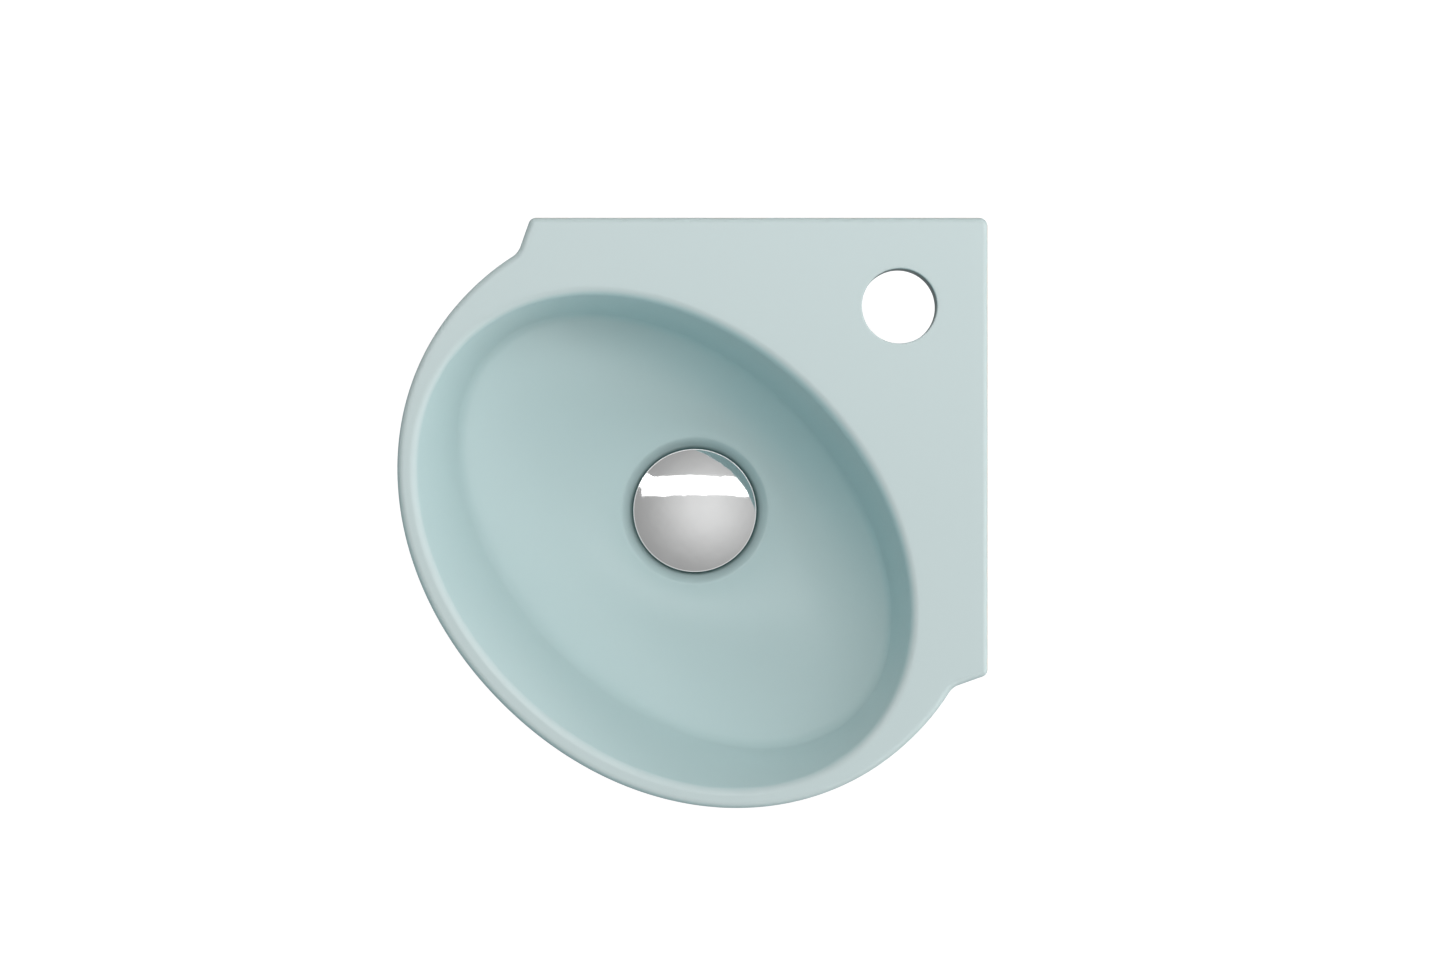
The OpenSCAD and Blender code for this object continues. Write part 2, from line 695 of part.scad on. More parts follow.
module click_plunger() {
    bevel = stem_thread_d / 10;
    color(steel_colour)
        on_waste() {
            translate([0, 0, rotor_z - free_gap])
                cylinder(h = driver_z - rotor_z + overrun, d = stub_d);
            translate([0, 0, driver_z])
                cylinder(h = driver_h, r = core_r);
            round_the_cartridge(0)
                tooth(core_r - overrun, lug_r, driver_angle, driver_z,
                    driver_h, ratchet_rise, 0);
            translate([0, 0, driver_z])
                cylinder(h = locknut_z - driver_z, r = shaft_r);
            rotate_extrude()
                polygon([[0, driver_top_z], [stem_thread_d / 2, driver_top_z],
                    [stem_thread_d / 2, stem_top_z - bevel], [stem_thread_d / 2 - bevel, stem_top_z],
                    [0, stem_top_z]]);
        }
}

module click_rotor() {
    color(nylon_colour)
        on_waste() {
            washer(stub_d / 2 + run_gap, core_r, rotor_z, rotor_h);
            round_the_cartridge(0)
                tooth(core_r - overrun, lug_r, lug_angle, rotor_z, rotor_h, 0, ratchet_rise);
        }
}

// The spring is one tube of round wire, wound closer at both ends
spring_r = stub_d / 2 + 2 * free_gap + wire_d;
// Corners of the wire's section and sections in one turn
spring_sides = 6;
curl_rings = 8;
// Turns that each end adds, and their rise in one turn
end_turns = 0.75;
end_rise = wire_d * 1.5;
all_turns = spring_turns + 2 * end_turns;
spring_rings = ceil(all_turns * curl_rings);
spring_span = spring_h - wire_d - run_gap;
function spring_rise(t) = let (low = end_turns, high = all_turns - end_turns)
    t < low ? end_rise * t
    : t > high ? spring_span - end_rise * (all_turns - t)
    : blend(end_rise * low, spring_span - end_rise * low, (t - low) / (high - low));
function spring_centre(t) = [spring_r * cos(360 * t), spring_r * sin(360 * t),
    base_top_z + wire_d / 2 + spring_rise(t)];
function spring_ring(t) = let (c = spring_centre(t)) [for (s = [spring_sides - 1 : -1 : 0])
    let (a = 360 * s / spring_sides, out = wire_d / 2 * cos(a))
    c + [out * cos(360 * t), out * sin(360 * t), wire_d / 2 * sin(a)]];
spring_points = [for (k = [0 : spring_rings]) spring_centre(all_turns * k / spring_rings)];
spring_gap = min([for (a = [0 : spring_rings]) for (b = [a + curl_rings / 2 : 1 : spring_rings])
    norm(spring_points[a] - spring_points[b])]) - wire_d;
echo(least_gap_of_the_spring_to_itself = spring_gap);

module click_spring() {
    color(steel_colour)
        on_waste()
            ring_solid([for (k = [0 : spring_rings]) spring_ring(all_turns * k / spring_rings)]);
}

module stem_ring() {
    color(rubber_colour)
        on_waste()
            translate([0, 0, cavity_top_z + collar_t / 2])
                rotate_extrude()
                    translate([ring_centre_r, 0])
                        circle(d = ring_d);
}

module plug_carrier() {
    bevel = carrier_t / 4;
    body_r = carrier_body_d / 2;
    groove_r = body_r - seal_groove;
    boss_r = carrier_boss_d / 2;
    bore_r = stem_thread_d / 2 + thread_gap;
    disc_r = cap_r - cap_t - thread_gap;
    color(nylon_colour)
        on_waste()
            rotate_extrude()
                polygon([[bore_r, boss_z], [boss_r - bevel, boss_z], [boss_r, boss_z + bevel],
                    [boss_r, body_z], [body_r - bevel, body_z], [body_r, body_z + bevel],
                    [body_r, seal_z - run_gap], [groove_r, seal_z - run_gap],
                    [groove_r, seal_z + seal_h + run_gap], [body_r, seal_z + seal_h + run_gap],
                    [body_r, carrier_z], [disc_r - bevel, carrier_z],
                    [disc_r, carrier_z + bevel], [disc_r, carrier_z + carrier_t],
                    [bore_r, carrier_z + carrier_t]]);
}

// The cap is a thin dome cut from a sphere, with a straight edge
module dome(r, rise, z, edge) {
    big = (r * r + rise * rise) / (2 * rise);
    intersection() {
        translate([0, 0, z + edge + rise - big])
            sphere(r = big);
        translate([0, 0, z])
            cylinder(h = edge + rise + overrun, r = r);
    }
}

module plug_cap() {
    color(chrome_colour)
        on_waste()
            difference() {
                dome(cap_r, cap_rise, cap_z, cap_edge);
                dome(cap_r - cap_t, cap_rise + cap_shoulder - cap_t, cap_z - overrun,
                    cap_edge + overrun - cap_shoulder);
            }
}

module plug_seal() {
    inner = carrier_body_d / 2 - seal_groove + run_gap;
    root_r = carrier_body_d / 2;
    lip_h = seal_h / 3;
    color(rubber_colour)
        on_waste()
            rotate_extrude()
                polygon([[inner, seal_z], [root_r, seal_z], [seal_r, seal_z + lip_h],
                    [seal_r, seal_z + 2 * lip_h], [root_r, seal_z + seal_h], [inner, seal_z + seal_h]]);
}

module plug_locknut() {
    color(brass_colour)
        on_waste()
            translate([0, 0, locknut_z])
                hex_nut(locknut_af, locknut_t, stem_thread_d / 2 + thread_gap);
}

basin();
waste_body();
flange_gasket();
lower_gasket();
slip_washer();
backnut();
click_housing();
click_base();
click_plunger();
click_rotor();
click_spring();
stem_ring();
plug_carrier();
plug_cap();
plug_seal();
plug_locknut();
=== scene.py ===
"""Corner hand basin with its push-open waste, dressed and lit in a plain studio.

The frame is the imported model's: the origin is the centre of the tap hole at the height of the rim,
+X runs to the right wall, +Y to the back wall and +Z up. Sizes in the classes are in millimetres,
as in the part's source, and meshes are in metres.
"""
import logging
import math
from dataclasses import dataclass, field
from enum import Enum
from functools import reduce
from typing import Callable, Sequence

import bmesh
import bpy
import numpy as np
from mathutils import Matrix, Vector
from mathutils.geometry import delaunay_2d_cdt


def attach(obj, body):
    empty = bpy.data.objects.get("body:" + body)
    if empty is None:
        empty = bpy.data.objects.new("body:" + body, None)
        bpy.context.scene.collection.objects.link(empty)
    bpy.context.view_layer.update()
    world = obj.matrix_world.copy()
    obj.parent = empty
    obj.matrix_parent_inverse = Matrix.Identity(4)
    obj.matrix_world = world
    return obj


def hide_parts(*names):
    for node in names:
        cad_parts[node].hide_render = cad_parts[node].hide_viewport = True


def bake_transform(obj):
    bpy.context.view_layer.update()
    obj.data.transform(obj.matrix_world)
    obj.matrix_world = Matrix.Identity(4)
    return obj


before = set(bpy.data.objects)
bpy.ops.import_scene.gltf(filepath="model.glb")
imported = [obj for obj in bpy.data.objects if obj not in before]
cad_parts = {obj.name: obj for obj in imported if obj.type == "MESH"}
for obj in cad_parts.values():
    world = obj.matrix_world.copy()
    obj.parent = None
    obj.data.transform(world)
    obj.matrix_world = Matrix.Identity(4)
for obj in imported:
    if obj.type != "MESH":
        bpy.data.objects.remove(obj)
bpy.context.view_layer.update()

LOG = logging.getLogger("basin")
MM = 0.001
WASTE_AT = (-105.0, -105.0)
MERGE = 1e-6
EXACT = 1e-7
Array = np.ndarray
Socket = bpy.types.NodeSocket
Tone = tuple[float, float, float]


# Shapes

def turned(angle: Array | float) -> Array:
    """Unit vectors at angles in radians, one row each, or one vector for one angle."""
    return np.stack([np.cos(angle), np.sin(angle)], axis=-1)


def signed_power(value: Array, power: float) -> Array:
    """The value raised to a power with its sign kept."""
    return np.sign(value) * np.abs(value) ** power


def blend(low: Array | float, high: Array | float, share: Array | float) -> Array | float:
    """The point a share of the way from low to high."""
    return low + (high - low) * share


def full_turn(steps: int) -> Array:
    """Angles in radians that share a full turn evenly."""
    return np.linspace(0, 2 * np.pi, steps, endpoint=False)


def quarter(shares: Array | int) -> Array:
    """Points of a quarter round of radius 1: 1 less the cosine and 1 less the sine, one row each.

    The shares of the right angle are given, or else the number of even steps.
    """
    if isinstance(shares, int):
        shares = np.linspace(0, 1, shares + 1)
    return 1 - turned(math.pi / 2 * np.asarray(shares))


def wrapped(rows: Array) -> Array:
    """Rows with the first one repeated at the end."""
    return np.concatenate([rows, rows[:1]])


def round_grid(radius: Array, angle: Array, height: Array | float,
               centre: Sequence[float] = (0.0, 0.0)) -> Array:
    """Points of shape (rows, columns, 3) round an upright axis, from radius, angle and height."""
    reach = np.broadcast_to(radius, np.broadcast_shapes(np.shape(radius), np.shape(angle)))
    grid = np.empty((*reach.shape, 3))
    grid[..., 0] = centre[0] + reach * np.cos(angle)
    grid[..., 1] = centre[1] + reach * np.sin(angle)
    grid[..., 2] = height
    return grid


def arc(centre: Sequence[float], radius: float, start: float, end: float, steps: int) -> Array:
    """Points of a circular arc in a profile's plane.

    Args:
        centre: The arc's centre.
        radius: Its radius.
        start: First angle in degrees.
        end: Last angle in degrees.
        steps: Number of stretches.

    Returns:
        An array of steps + 1 rows of two numbers.
    """
    return np.asarray(centre) + radius * turned(np.radians(np.linspace(start, end, steps + 1)))


class Skin:
    """A mesh in the making: points and faces."""

    def __init__(self) -> None:
        """Starts with nothing in it."""
        self.points: list[Array] = []
        self.faces: list[Array] = []
        self.size = 0

    def add_points(self, points: Array) -> int:
        """Adds rows of x, y, z in millimetres and gives the number of the first."""
        start = self.size
        self.points.append(points.reshape(-1, 3))
        self.size += len(self.points[-1])
        return start

    def add_faces(self, faces: Array, flip: bool = False) -> None:
        """Adds faces of one corner count, one row each, turned over or not."""
        self.faces.append(faces[:, ::-1] if flip else faces)

    def add_grid(self, grid: Array, flip: bool = False) -> Array:
        """Adds a surface given as rows of points, in which the last column joins the first.

        Args:
            grid: Points of shape (rows, columns, 3).
            flip: Turns the faces over.

        Returns:
            The numbers of the points, of shape (rows, columns).
        """
        rows, columns = grid.shape[:2]
        numbers = self.add_points(grid) + np.arange(rows * columns).reshape(rows, columns)
        right = np.roll(numbers, -1, axis=1)
        quads = np.stack([numbers[:-1], right[:-1], right[1:], numbers[1:]], axis=-1)
        self.add_faces(quads.reshape(-1, 4), flip)
        return numbers

    def add_fan(self, ring: Array, apex: Array, flip: bool = False) -> None:
        """Closes a ring of point numbers onto one new point."""
        top = self.add_points(np.asarray(apex, float))
        self.add_faces(np.stack([ring, np.roll(ring, -1), np.full(len(ring), top)], axis=-1), flip)

    def add_flat(self, loops: Sequence[Array], place: Callable[[Array], Array], flip: bool = False,
                 extra: Array | None = None) -> list[Array]:
        """Fills a flat region between an outer loop and its holes with triangles.

        Args:
            loops: Plane points of the outer loop, then of each hole.
            place: Carries plane points (n, 2) to the surface (n, 3).
            flip: Turns the faces over.
            extra: Further plane points inside the region.

        Returns:
            The point numbers of each loop.
        """
        plane = np.concatenate(list(loops) + ([extra] if extra is not None else []))
        starts = np.cumsum([0] + [len(loop) for loop in loops])
        edges = [(int(a) + i, int(a) + (i + 1) % len(loop))
                 for a, loop in zip(starts, loops) for i in range(len(loop))]
        made = delaunay_2d_cdt([Vector(p) for p in plane.tolist()], edges, [], 0, EXACT)
        flat = np.array([tuple(v) for v in made[0]])
        tris = np.array(made[2])
        middle = flat[tris].mean(axis=1)
        within = [inside(loop, middle) for loop in loops]
        tris = tris[within[0] & ~np.any(within[1:], axis=0)]
        corner = flat[tris]
        area = np.cross(corner[:, 1] - corner[:, 0], corner[:, 2] - corner[:, 0])
        first = self.add_points(place(flat))
        self.add_faces(first + np.where((area < 0)[:, None], tris[:, ::-1], tris), flip)
        lookup = np.empty(len(plane), int)
        for new, olds in enumerate(made[3]):
            lookup[olds] = new
        return [first + lookup[a:b] for a, b in zip(starts, starts[1:])]

    def bridge(self, low: Array, high: Array, flip: bool = False) -> None:
        """Joins two rings of point numbers of the same count with four-sided faces."""
        self.add_faces(np.stack([low, np.roll(low, -1), np.roll(high, -1), high], axis=-1), flip)

    def make(self, name: str, finish: bpy.types.Material, sharp: float = 40.0) -> bpy.types.Object:
        """Puts the skin into a Blender object.

        Points that lie on each other become one, and faces that this leaves without area go.

        Args:
            name: The object's name.
            finish: Its material.
            sharp: Angle in degrees past which an edge is shaded sharp.

        Returns:
            The object, linked to the scene.
        """
        points = np.concatenate(self.points) * MM
        corners = np.concatenate([f.reshape(-1) for f in self.faces])
        counts = np.concatenate([np.full(len(f), f.shape[1]) for f in self.faces])
        starts = np.concatenate([[0], np.cumsum(counts)[:-1]])
        mesh = bpy.data.meshes.new(name)
        mesh.vertices.add(len(points))
        mesh.vertices.foreach_set("co", points.astype(np.float32).reshape(-1))
        mesh.loops.add(len(corners))
        mesh.loops.foreach_set("vertex_index", corners.astype(np.int32))
        mesh.polygons.add(len(counts))
        mesh.polygons.foreach_set("loop_start", starts.astype(np.int32))
        mesh.update(calc_edges=True)
        mesh.validate()
        mesh.materials.append(finish)
        work = bmesh.new()
        work.from_mesh(mesh)
        bmesh.ops.remove_doubles(work, verts=work.verts, dist=MERGE)
        bmesh.ops.dissolve_degenerate(work, edges=work.edges, dist=MERGE / 4)
        work.to_mesh(mesh)
        work.free()
        mesh.polygons.foreach_set("use_smooth", np.ones(len(mesh.polygons), bool))
        mesh.set_sharp_from_angle(angle=math.radians(sharp))
        piece = bpy.data.objects.new(name, mesh)
        bpy.context.scene.collection.objects.link(piece)
        return piece


def inside(loop: Array, points: Array) -> Array:
    """Which points lie inside a closed loop, by counting the sides that a ray to the right crosses."""
    a, b = loop, np.roll(loop, -1, axis=0)
    x, y = points[:, 0:1], points[:, 1:2]
    spans = (a[None, :, 1] > y) != (b[None, :, 1] > y)
    rise = np.where(b[:, 1] == a[:, 1], 1.0, b[:, 1] - a[:, 1])
    at = a[None, :, 0] + (y - a[None, :, 1]) * ((b[:, 0] - a[:, 0]) / rise)[None]
    return ((spans & (x < at)).sum(axis=1) % 2) == 1


def revolved(profile: Array, columns: int, centre: Sequence[float] = (0.0, 0.0)) -> Array:
    """A profile of radius and height carried round an upright axis."""
    return round_grid(profile[:, :1], full_turn(columns), profile[:, 1:], centre)


def rounded_profile(corners: Sequence[tuple[float, float, float]], steps: int = 6) -> Array:
    """A closed profile whose corners are rounded.

    Args:
        corners: Radius, height and rounding radius of each corner, in order.
        steps: Stretches of each rounding.

    Returns:
        The profile's points. Each corner is replaced by the arc that touches both sides.
    """
    spots = np.array([c[:2] for c in corners], float)
    out: list[Array] = []
    for k, (_, _, radius) in enumerate(corners):
        here, back, on = spots[k], spots[k - 1], spots[(k + 1) % len(spots)]
        u = (back - here) / np.linalg.norm(back - here)
        v = (on - here) / np.linalg.norm(on - here)
        half = math.acos(np.clip(u @ v, -1, 1)) / 2
        reach = radius / math.tan(half)
        middle = here + (u + v) / np.linalg.norm(u + v) * radius / math.sin(half)
        a, b = here + u * reach - middle, here + v * reach - middle
        start = math.atan2(a[1], a[0])
        sweep = (math.atan2(b[1], b[0]) - start + math.pi) % (2 * math.pi) - math.pi
        out.append(middle + radius * turned(start + sweep * np.linspace(0, 1, steps + 1)))
    return np.concatenate(out)


# Finishes

class Nodes:
    """Short calls that build one material's or one world's node tree."""

    def __init__(self, owner: bpy.types.Material | bpy.types.World) -> None:
        """Empties the owner's node tree."""
        owner.use_nodes = True
        self.tree = owner.node_tree
        self.tree.nodes.clear()

    def add(self, kind: str, **values: object) -> bpy.types.Node:
        """Adds a node and sets its properties."""
        node = self.tree.nodes.new(kind)
        for key, value in values.items():
            setattr(node, key, value)
        return node

    def link(self, source: Socket, target: Socket) -> None:
        """Joins two sockets."""
        self.tree.links.new(source, target)

    def feed(self, socket: Socket, value: object) -> None:
        """Sets a socket to a number or colour, or links it to another socket."""
        if isinstance(value, Socket):
            self.link(value, socket)
        else:
            socket.default_value = value

    def run(self, kind: str, *inputs: object, **values: object) -> Socket | None:
        """Adds a node, feeds its first inputs in order and gives its first output."""
        node = self.add(kind, **values)
        for socket, value in zip(node.inputs, inputs):
            self.feed(socket, value)
        return node.outputs[0] if node.outputs else None

    def named(self, kind: str, **sockets: object) -> Socket:
        """Adds a node, feeds inputs named with underscores for spaces and gives its first output."""
        node = self.add(kind)
        for key, value in sockets.items():
            self.feed(node.inputs[key.replace("_", " ")], value)
        return node.outputs[0]

    def math(self, operation: str, a: object, b: object = 0.0, clamp: bool = False) -> Socket:
        """A Math node on two values or sockets."""
        return self.run("ShaderNodeMath", a, b, operation=operation, use_clamp=clamp)

    def plus(self, *values: object) -> Socket:
        """The sum."""
        return reduce(lambda a, b: self.math("ADD", a, b), values)

    def less(self, a: object, b: object, clamp: bool = False) -> Socket:
        """The first less the second."""
        return self.math("SUBTRACT", a, b, clamp)

    def times(self, *values: object) -> Socket:
        """The product."""
        return reduce(lambda a, b: self.math("MULTIPLY", a, b), values)

    def most(self, *values: object) -> Socket:
        """The largest."""
        return reduce(lambda a, b: self.math("MAXIMUM", a, b), values)

    def above(self, a: object, b: object) -> Socket:
        """1 where the first is larger than the second, else 0."""
        return self.math("GREATER_THAN", a, b)

    def squares(self, *values: object) -> Socket:
        """The sum of the squares."""
        return self.plus(*(self.math("POWER", self.math("ABSOLUTE", v), 2.0) for v in values))

    def span(self, value: object, low: float, high: float, to_low: float = 0.0,
             to_high: float = 1.0) -> Socket:
        """Carries a value from one span to another, eased at both ends."""
        return self.run("ShaderNodeMapRange", value, low, high, to_low, to_high,
                        interpolation_type="SMOOTHSTEP")

    def axes(self, where: Socket) -> list[Socket]:
        """The three numbers of a vector."""
        node = self.add("ShaderNodeSeparateXYZ")
        self.link(where, node.inputs[0])
        return list(node.outputs)

    def spot(self, output: str) -> Socket:
        """One of the coordinates that a shader gets."""
        return self.add("ShaderNodeTexCoord").outputs[output]

    def place(self, scale: Sequence[float] = (1, 1, 1), centre: Sequence[float] = (0, 0, 0)) -> Socket:
        """Object coordinates, centred and scaled."""
        return self.named("ShaderNodeMapping", Vector=self.spot("Object"), Scale=list(scale),
                          Location=[-c * s for c, s in zip(centre, scale)])

    def noise(self, where: Socket, scale: float, detail: float = 2.0, rough: float = 0.5) -> Socket:
        """Noise of a scale in features per metre."""
        return self.named("ShaderNodeTexNoise", Vector=where, Scale=scale, Detail=detail, Roughness=rough)

    def tint(self, share: Socket, low: object, high: object) -> Socket:
        """A colour between two colours or sockets, by a share."""
        node = self.add("ShaderNodeMix", data_type="RGBA", blend_type="MIX")
        self.link(share, node.inputs[0])
        for socket, colour in ((node.inputs[6], low), (node.inputs[7], high)):
            self.feed(socket, colour if isinstance(colour, Socket) else (*colour, 1.0))
        return node.outputs[2]

    def bump(self, height: Socket, distance: float, strength: float = 1.0, **after: Socket) -> Socket:
        """A bumped normal from a height of 0 to 1 and its real depth in metres."""
        return self.named("ShaderNodeBump", Height=height, Distance=distance, Strength=strength, **after)

    def surface(self, **sockets: object) -> None:
        """Ends a material in a Principled shader."""
        self.run("ShaderNodeOutputMaterial", self.named("ShaderNodeBsdfPrincipled", **sockets))

    def grey(self, kind: str, level: float, *strength: object) -> Socket:
        """A shader of one grey, with a strength where it has one."""
        return self.run(kind, (level, level, level, 1.0), *strength)

    def rays(self) -> tuple[Socket, Socket]:
        """Whether the camera looks, and whether something mirrors or lets through what is seen."""
        path = self.add("ShaderNodeLightPath").outputs
        return path["Is Camera Ray"], self.most(path["Is Glossy Ray"], path["Is Transmission Ray"])


@dataclass(frozen=True)
class Glaze:
    """Satin sanitary glaze, with bare fireclay where the ware touches the walls and under its foot.

    Below the deck's top it takes a darker, more saturated tone. On the steep faces that look to
    the front, away from the soft boxes, it takes a deeper one still: both are painted shade. At the foot of
    the waste recess and down the tap hole it is painted darker still: painted shade in the crevice and
    hole.
    """

    tone: Tone = (0.499, 0.596, 0.598)
    thin: Tone = (0.509, 0.604, 0.605)
    # Painted shade: the darker, more saturated tones that everything below the deck's top takes, outer
    # edges too
    bowl: Tone = (0.480, 0.613, 0.617)
    bowl_shade_drift: Tone = (0.490, 0.621, 0.624)
    # Painted shade: the deeper tone of steep faces that look to the front, away from the soft boxes
    facing_shade_tone: Tone = (0.382, 0.572, 0.592)
    # Painted shade: the dark teal of the recess's crevice by the plug and of the tap hole's wall
    crevice_shade_tone: Tone = (0.056, 0.118, 0.120)
    clay: Tone = (0.66, 0.62, 0.55)
    clay_dark: Tone = (0.56, 0.52, 0.46)
    rough: float = 0.34
    rough_spread: float = 0.05
    clay_rough: float = 0.86
    drift_scale: float = 14.0
    grain_scale: float = 900.0
    grain_depth: float = 0.00022
    grain_glazed: float = 0.06
    peel_scale: float = 260.0
    peel_depth: float = 0.00003
    edge_scale: float = 120.0
    edge_wander: float = 0.0012
    wall: float = 0.0446
    foot: float = 0.1192
    # Depths in metres below the deck at which the painted shade of the bowl tones begins and is full
    bowl_shade_from: float = 0.0004
    bowl_shade_to: float = 0.0035
    # How far a face must look to the front for its painted shade to begin and to be full
    facing_shade_from: float = 0.18
    facing_shade_to: float = 0.95
    waste_at: float = -0.105
    # Where the painted shade of the recess's crevice lies: below this depth, fading out between these radii
    # from the waste axis
    recess_shade_depth: float = 0.0952
    recess_shade_from: float = 0.0342
    recess_shade_to: float = 0.0366
    # Where the painted shade down the tap hole lies, and how strong it is
    hole_shade_reach: float = 0.0197
    hole_shade_depth: float = 0.0011
    hole_shade_share: float = 0.68

    def material(self) -> bpy.types.Material:
        """Builds the material: soft tone drift, painted shade, fine orange peel and the unglazed faces."""
        made = bpy.data.materials.new("satin_glaze_painted_shade")
        n = Nodes(made)
        where = n.place()
        drift = n.noise(where, self.drift_scale, 3.0)
        grain = n.noise(where, self.grain_scale, 4.0, 0.6)
        peel = n.noise(where, self.peel_scale)
        edge = n.times(n.less(n.noise(where, self.edge_scale, 3.0), 0.5), self.edge_wander)
        at = n.axes(where)
        low = n.less(edge, at[2])
        bare = n.most(n.above(n.plus(at[0], edge), self.wall), n.above(n.plus(at[1], edge), self.wall),
                      n.above(low, self.foot))
        # Painted shade: darker close round the plug at the foot of the waste recess, where the cap shades
        # the crevice
        recess = n.times(n.span(self.reach(n, at, self.waste_at), self.recess_shade_to, self.recess_shade_from),
                         n.above(low, self.recess_shade_depth))
        # Painted shade: darker down the tap hole's wall, below its top edge
        hole = n.times(n.above(self.hole_shade_reach, self.reach(n, at, 0.0)), n.above(low, self.hole_shade_depth))
        crevice_shade = n.most(recess, n.times(hole, self.hole_shade_share))
        facing = n.axes(n.spot("Normal"))
        # Painted shade: faces whose normals point to the front, away from the soft boxes, take the deeper
        # tone
        run = n.span(n.times(n.plus(facing[0], facing[1]), -math.sqrt(0.5)), self.facing_shade_from, self.facing_shade_to)
        # Painted shade: below the deck's top, in the bowl and on the outer edge roundings, the deck tone
        # turns to the darker bowl tone
        thin = n.tint(n.span(low, self.bowl_shade_from, self.bowl_shade_to), n.tint(drift, self.tone, self.thin),
                      n.tint(drift, self.bowl, self.bowl_shade_drift))
        # The painted shade of recess and tap hole goes over the other tones
        body = n.tint(crevice_shade, n.tint(run, thin, self.facing_shade_tone), self.crevice_shade_tone)
        colour = n.tint(bare, body, n.tint(grain, self.clay_dark, self.clay))
        rough = n.most(n.plus(self.rough, n.times(n.less(peel, 0.5), self.rough_spread)),
                       n.times(bare, self.clay_rough))
        soft = n.bump(peel, self.peel_depth, 0.5)
        fine = n.bump(n.times(grain, n.plus(bare, self.grain_glazed)), self.grain_depth, 0.6, Normal=soft)
        n.surface(Base_Color=colour, Roughness=rough, IOR=1.5, Specular_IOR_Level=0.5, Normal=fine)
        return made

    def reach(self, n: Nodes, at: Sequence[Socket], axis: float) -> Socket:
        """Distance in plan from an upright axis that lies as far along X as along Y."""
        return n.math("POWER", n.squares(n.less(at[0], axis), n.less(at[1], axis)), 0.5)


@dataclass(frozen=True)
class Metal:
    """A bare or plated metal, turned, drawn or polished.

    Its wave is the depth in metres of the slow swell that polishing leaves.
    """

    name: str
    tone: Tone
    rough: float
    spread: float = 0.03
    stretch: tuple[float, float, float] = (1.0, 1.0, 1.0)
    grain: float = 700.0
    depth: float = 0.000004
    wave: float = 0.0
    wave_scale: float = 130.0
    cloud_scale: float = 60.0
    cloud_shade: float = 0.93
    centre: tuple[float, float, float] = (-0.105, -0.105, 0.0)

    def material(self) -> bpy.types.Material:
        """Builds the material: a metal whose gloss and fine relief follow the tool's marks."""
        made = bpy.data.materials.new(self.name)
        n = Nodes(made)
        marks = n.noise(n.place(self.stretch, self.centre), self.grain, 3.0, 0.55)
        tone = n.tint(n.noise(n.place(), self.cloud_scale), [c * self.cloud_shade for c in self.tone],
                      self.tone)
        swell = n.bump(n.noise(n.place(), self.wave_scale, 1.0), self.wave)
        n.surface(Base_Color=tone, Metallic=1.0, Roughness=n.plus(self.rough, n.times(marks, self.spread)),
                  Normal=n.bump(marks, self.depth, 0.6, Normal=swell))
        return made


@dataclass(frozen=True)
class Moulded:
    """A moulded plastic or rubber with its fine pressed grain."""

    name: str
    tone: Tone
    other: Tone
    rough: float
    spread: float = 0.12
    grain: float = 500.0
    depth: float = 0.00003
    cloud_scale: float = 35.0

    def material(self) -> bpy.types.Material:
        """Builds the material: a soft tone drift and a fine grain in gloss and relief."""
        made = bpy.data.materials.new(self.name)
        n = Nodes(made)
        grain = n.noise(n.place(), self.grain, 4.0, 0.6)
        n.surface(Base_Color=n.tint(n.noise(n.place(), self.cloud_scale), self.tone, self.other),
                  Roughness=n.plus(self.rough, n.times(n.less(grain, 0.5), self.spread)),
                  Specular_IOR_Level=0.5, Normal=n.bump(grain, self.depth, 0.5))
        return made


class Slot(Enum):
    """The record's material slots."""

    GLAZE = "glaze"
    CHROME = "chrome"
    BRASS = "brass"
    RUBBER = "rubber"
    NYLON = "nylon"
    STEEL = "steel"


@dataclass(frozen=True)
class Finishes:
    """All finishes of the basin, one per slot."""

    glaze: Glaze = Glaze()
    chrome: Metal = Metal("polished_chrome", (0.90, 0.905, 0.905), 0.035, 0.03, wave=0.00006)
    brass: Metal = Metal("turned_brass", (0.74, 0.56, 0.28), 0.24, 0.14, (1, 1, 9), 260.0, 0.00001)
    rubber: Moulded = Moulded("black_rubber", (0.016, 0.016, 0.017), (0.024, 0.024, 0.025), 0.62)
    nylon: Moulded = Moulded("white_acetal", (0.76, 0.76, 0.74), (0.71, 0.71, 0.69), 0.36)
    steel: Metal = Metal("stainless_steel", (0.58, 0.58, 0.59), 0.24, 0.1, (1, 1, 5), 420.0)

    def build(self) -> dict[Slot, bpy.types.Material]:
        """Builds one material per slot, from the field of the slot's name."""
        return {slot: getattr(self, slot.value).material() for slot in Slot}


@dataclass
class Piece:
    """How a finished object stands for nodes: its body, its slot and what it replaces.

    A piece that stretches across a joint also names the other body and the points, in metres,
    before which it belongs to the one and after which to the other; here it is attached to neither
    and stays where it was built.
    """

    made: bpy.types.Object
    body: str
    slot: Slot
    nodes: tuple[str, ...]
    across: tuple[str, tuple[float, ...], tuple[float, ...]] | None = None

    def settle(self) -> None:
        """Hands the piece to the frame and reports it."""
        if self.across:
            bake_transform(self.made)
        else:
            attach(self.made, self.body)
        if self.nodes:
            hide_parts(*self.nodes)
        LOG.info("%s: %d faces, rides on %s, stands for %s", self.made.name,
                 len(self.made.data.polygons), self.body, ", ".join(self.nodes) or "nothing")


# The casting

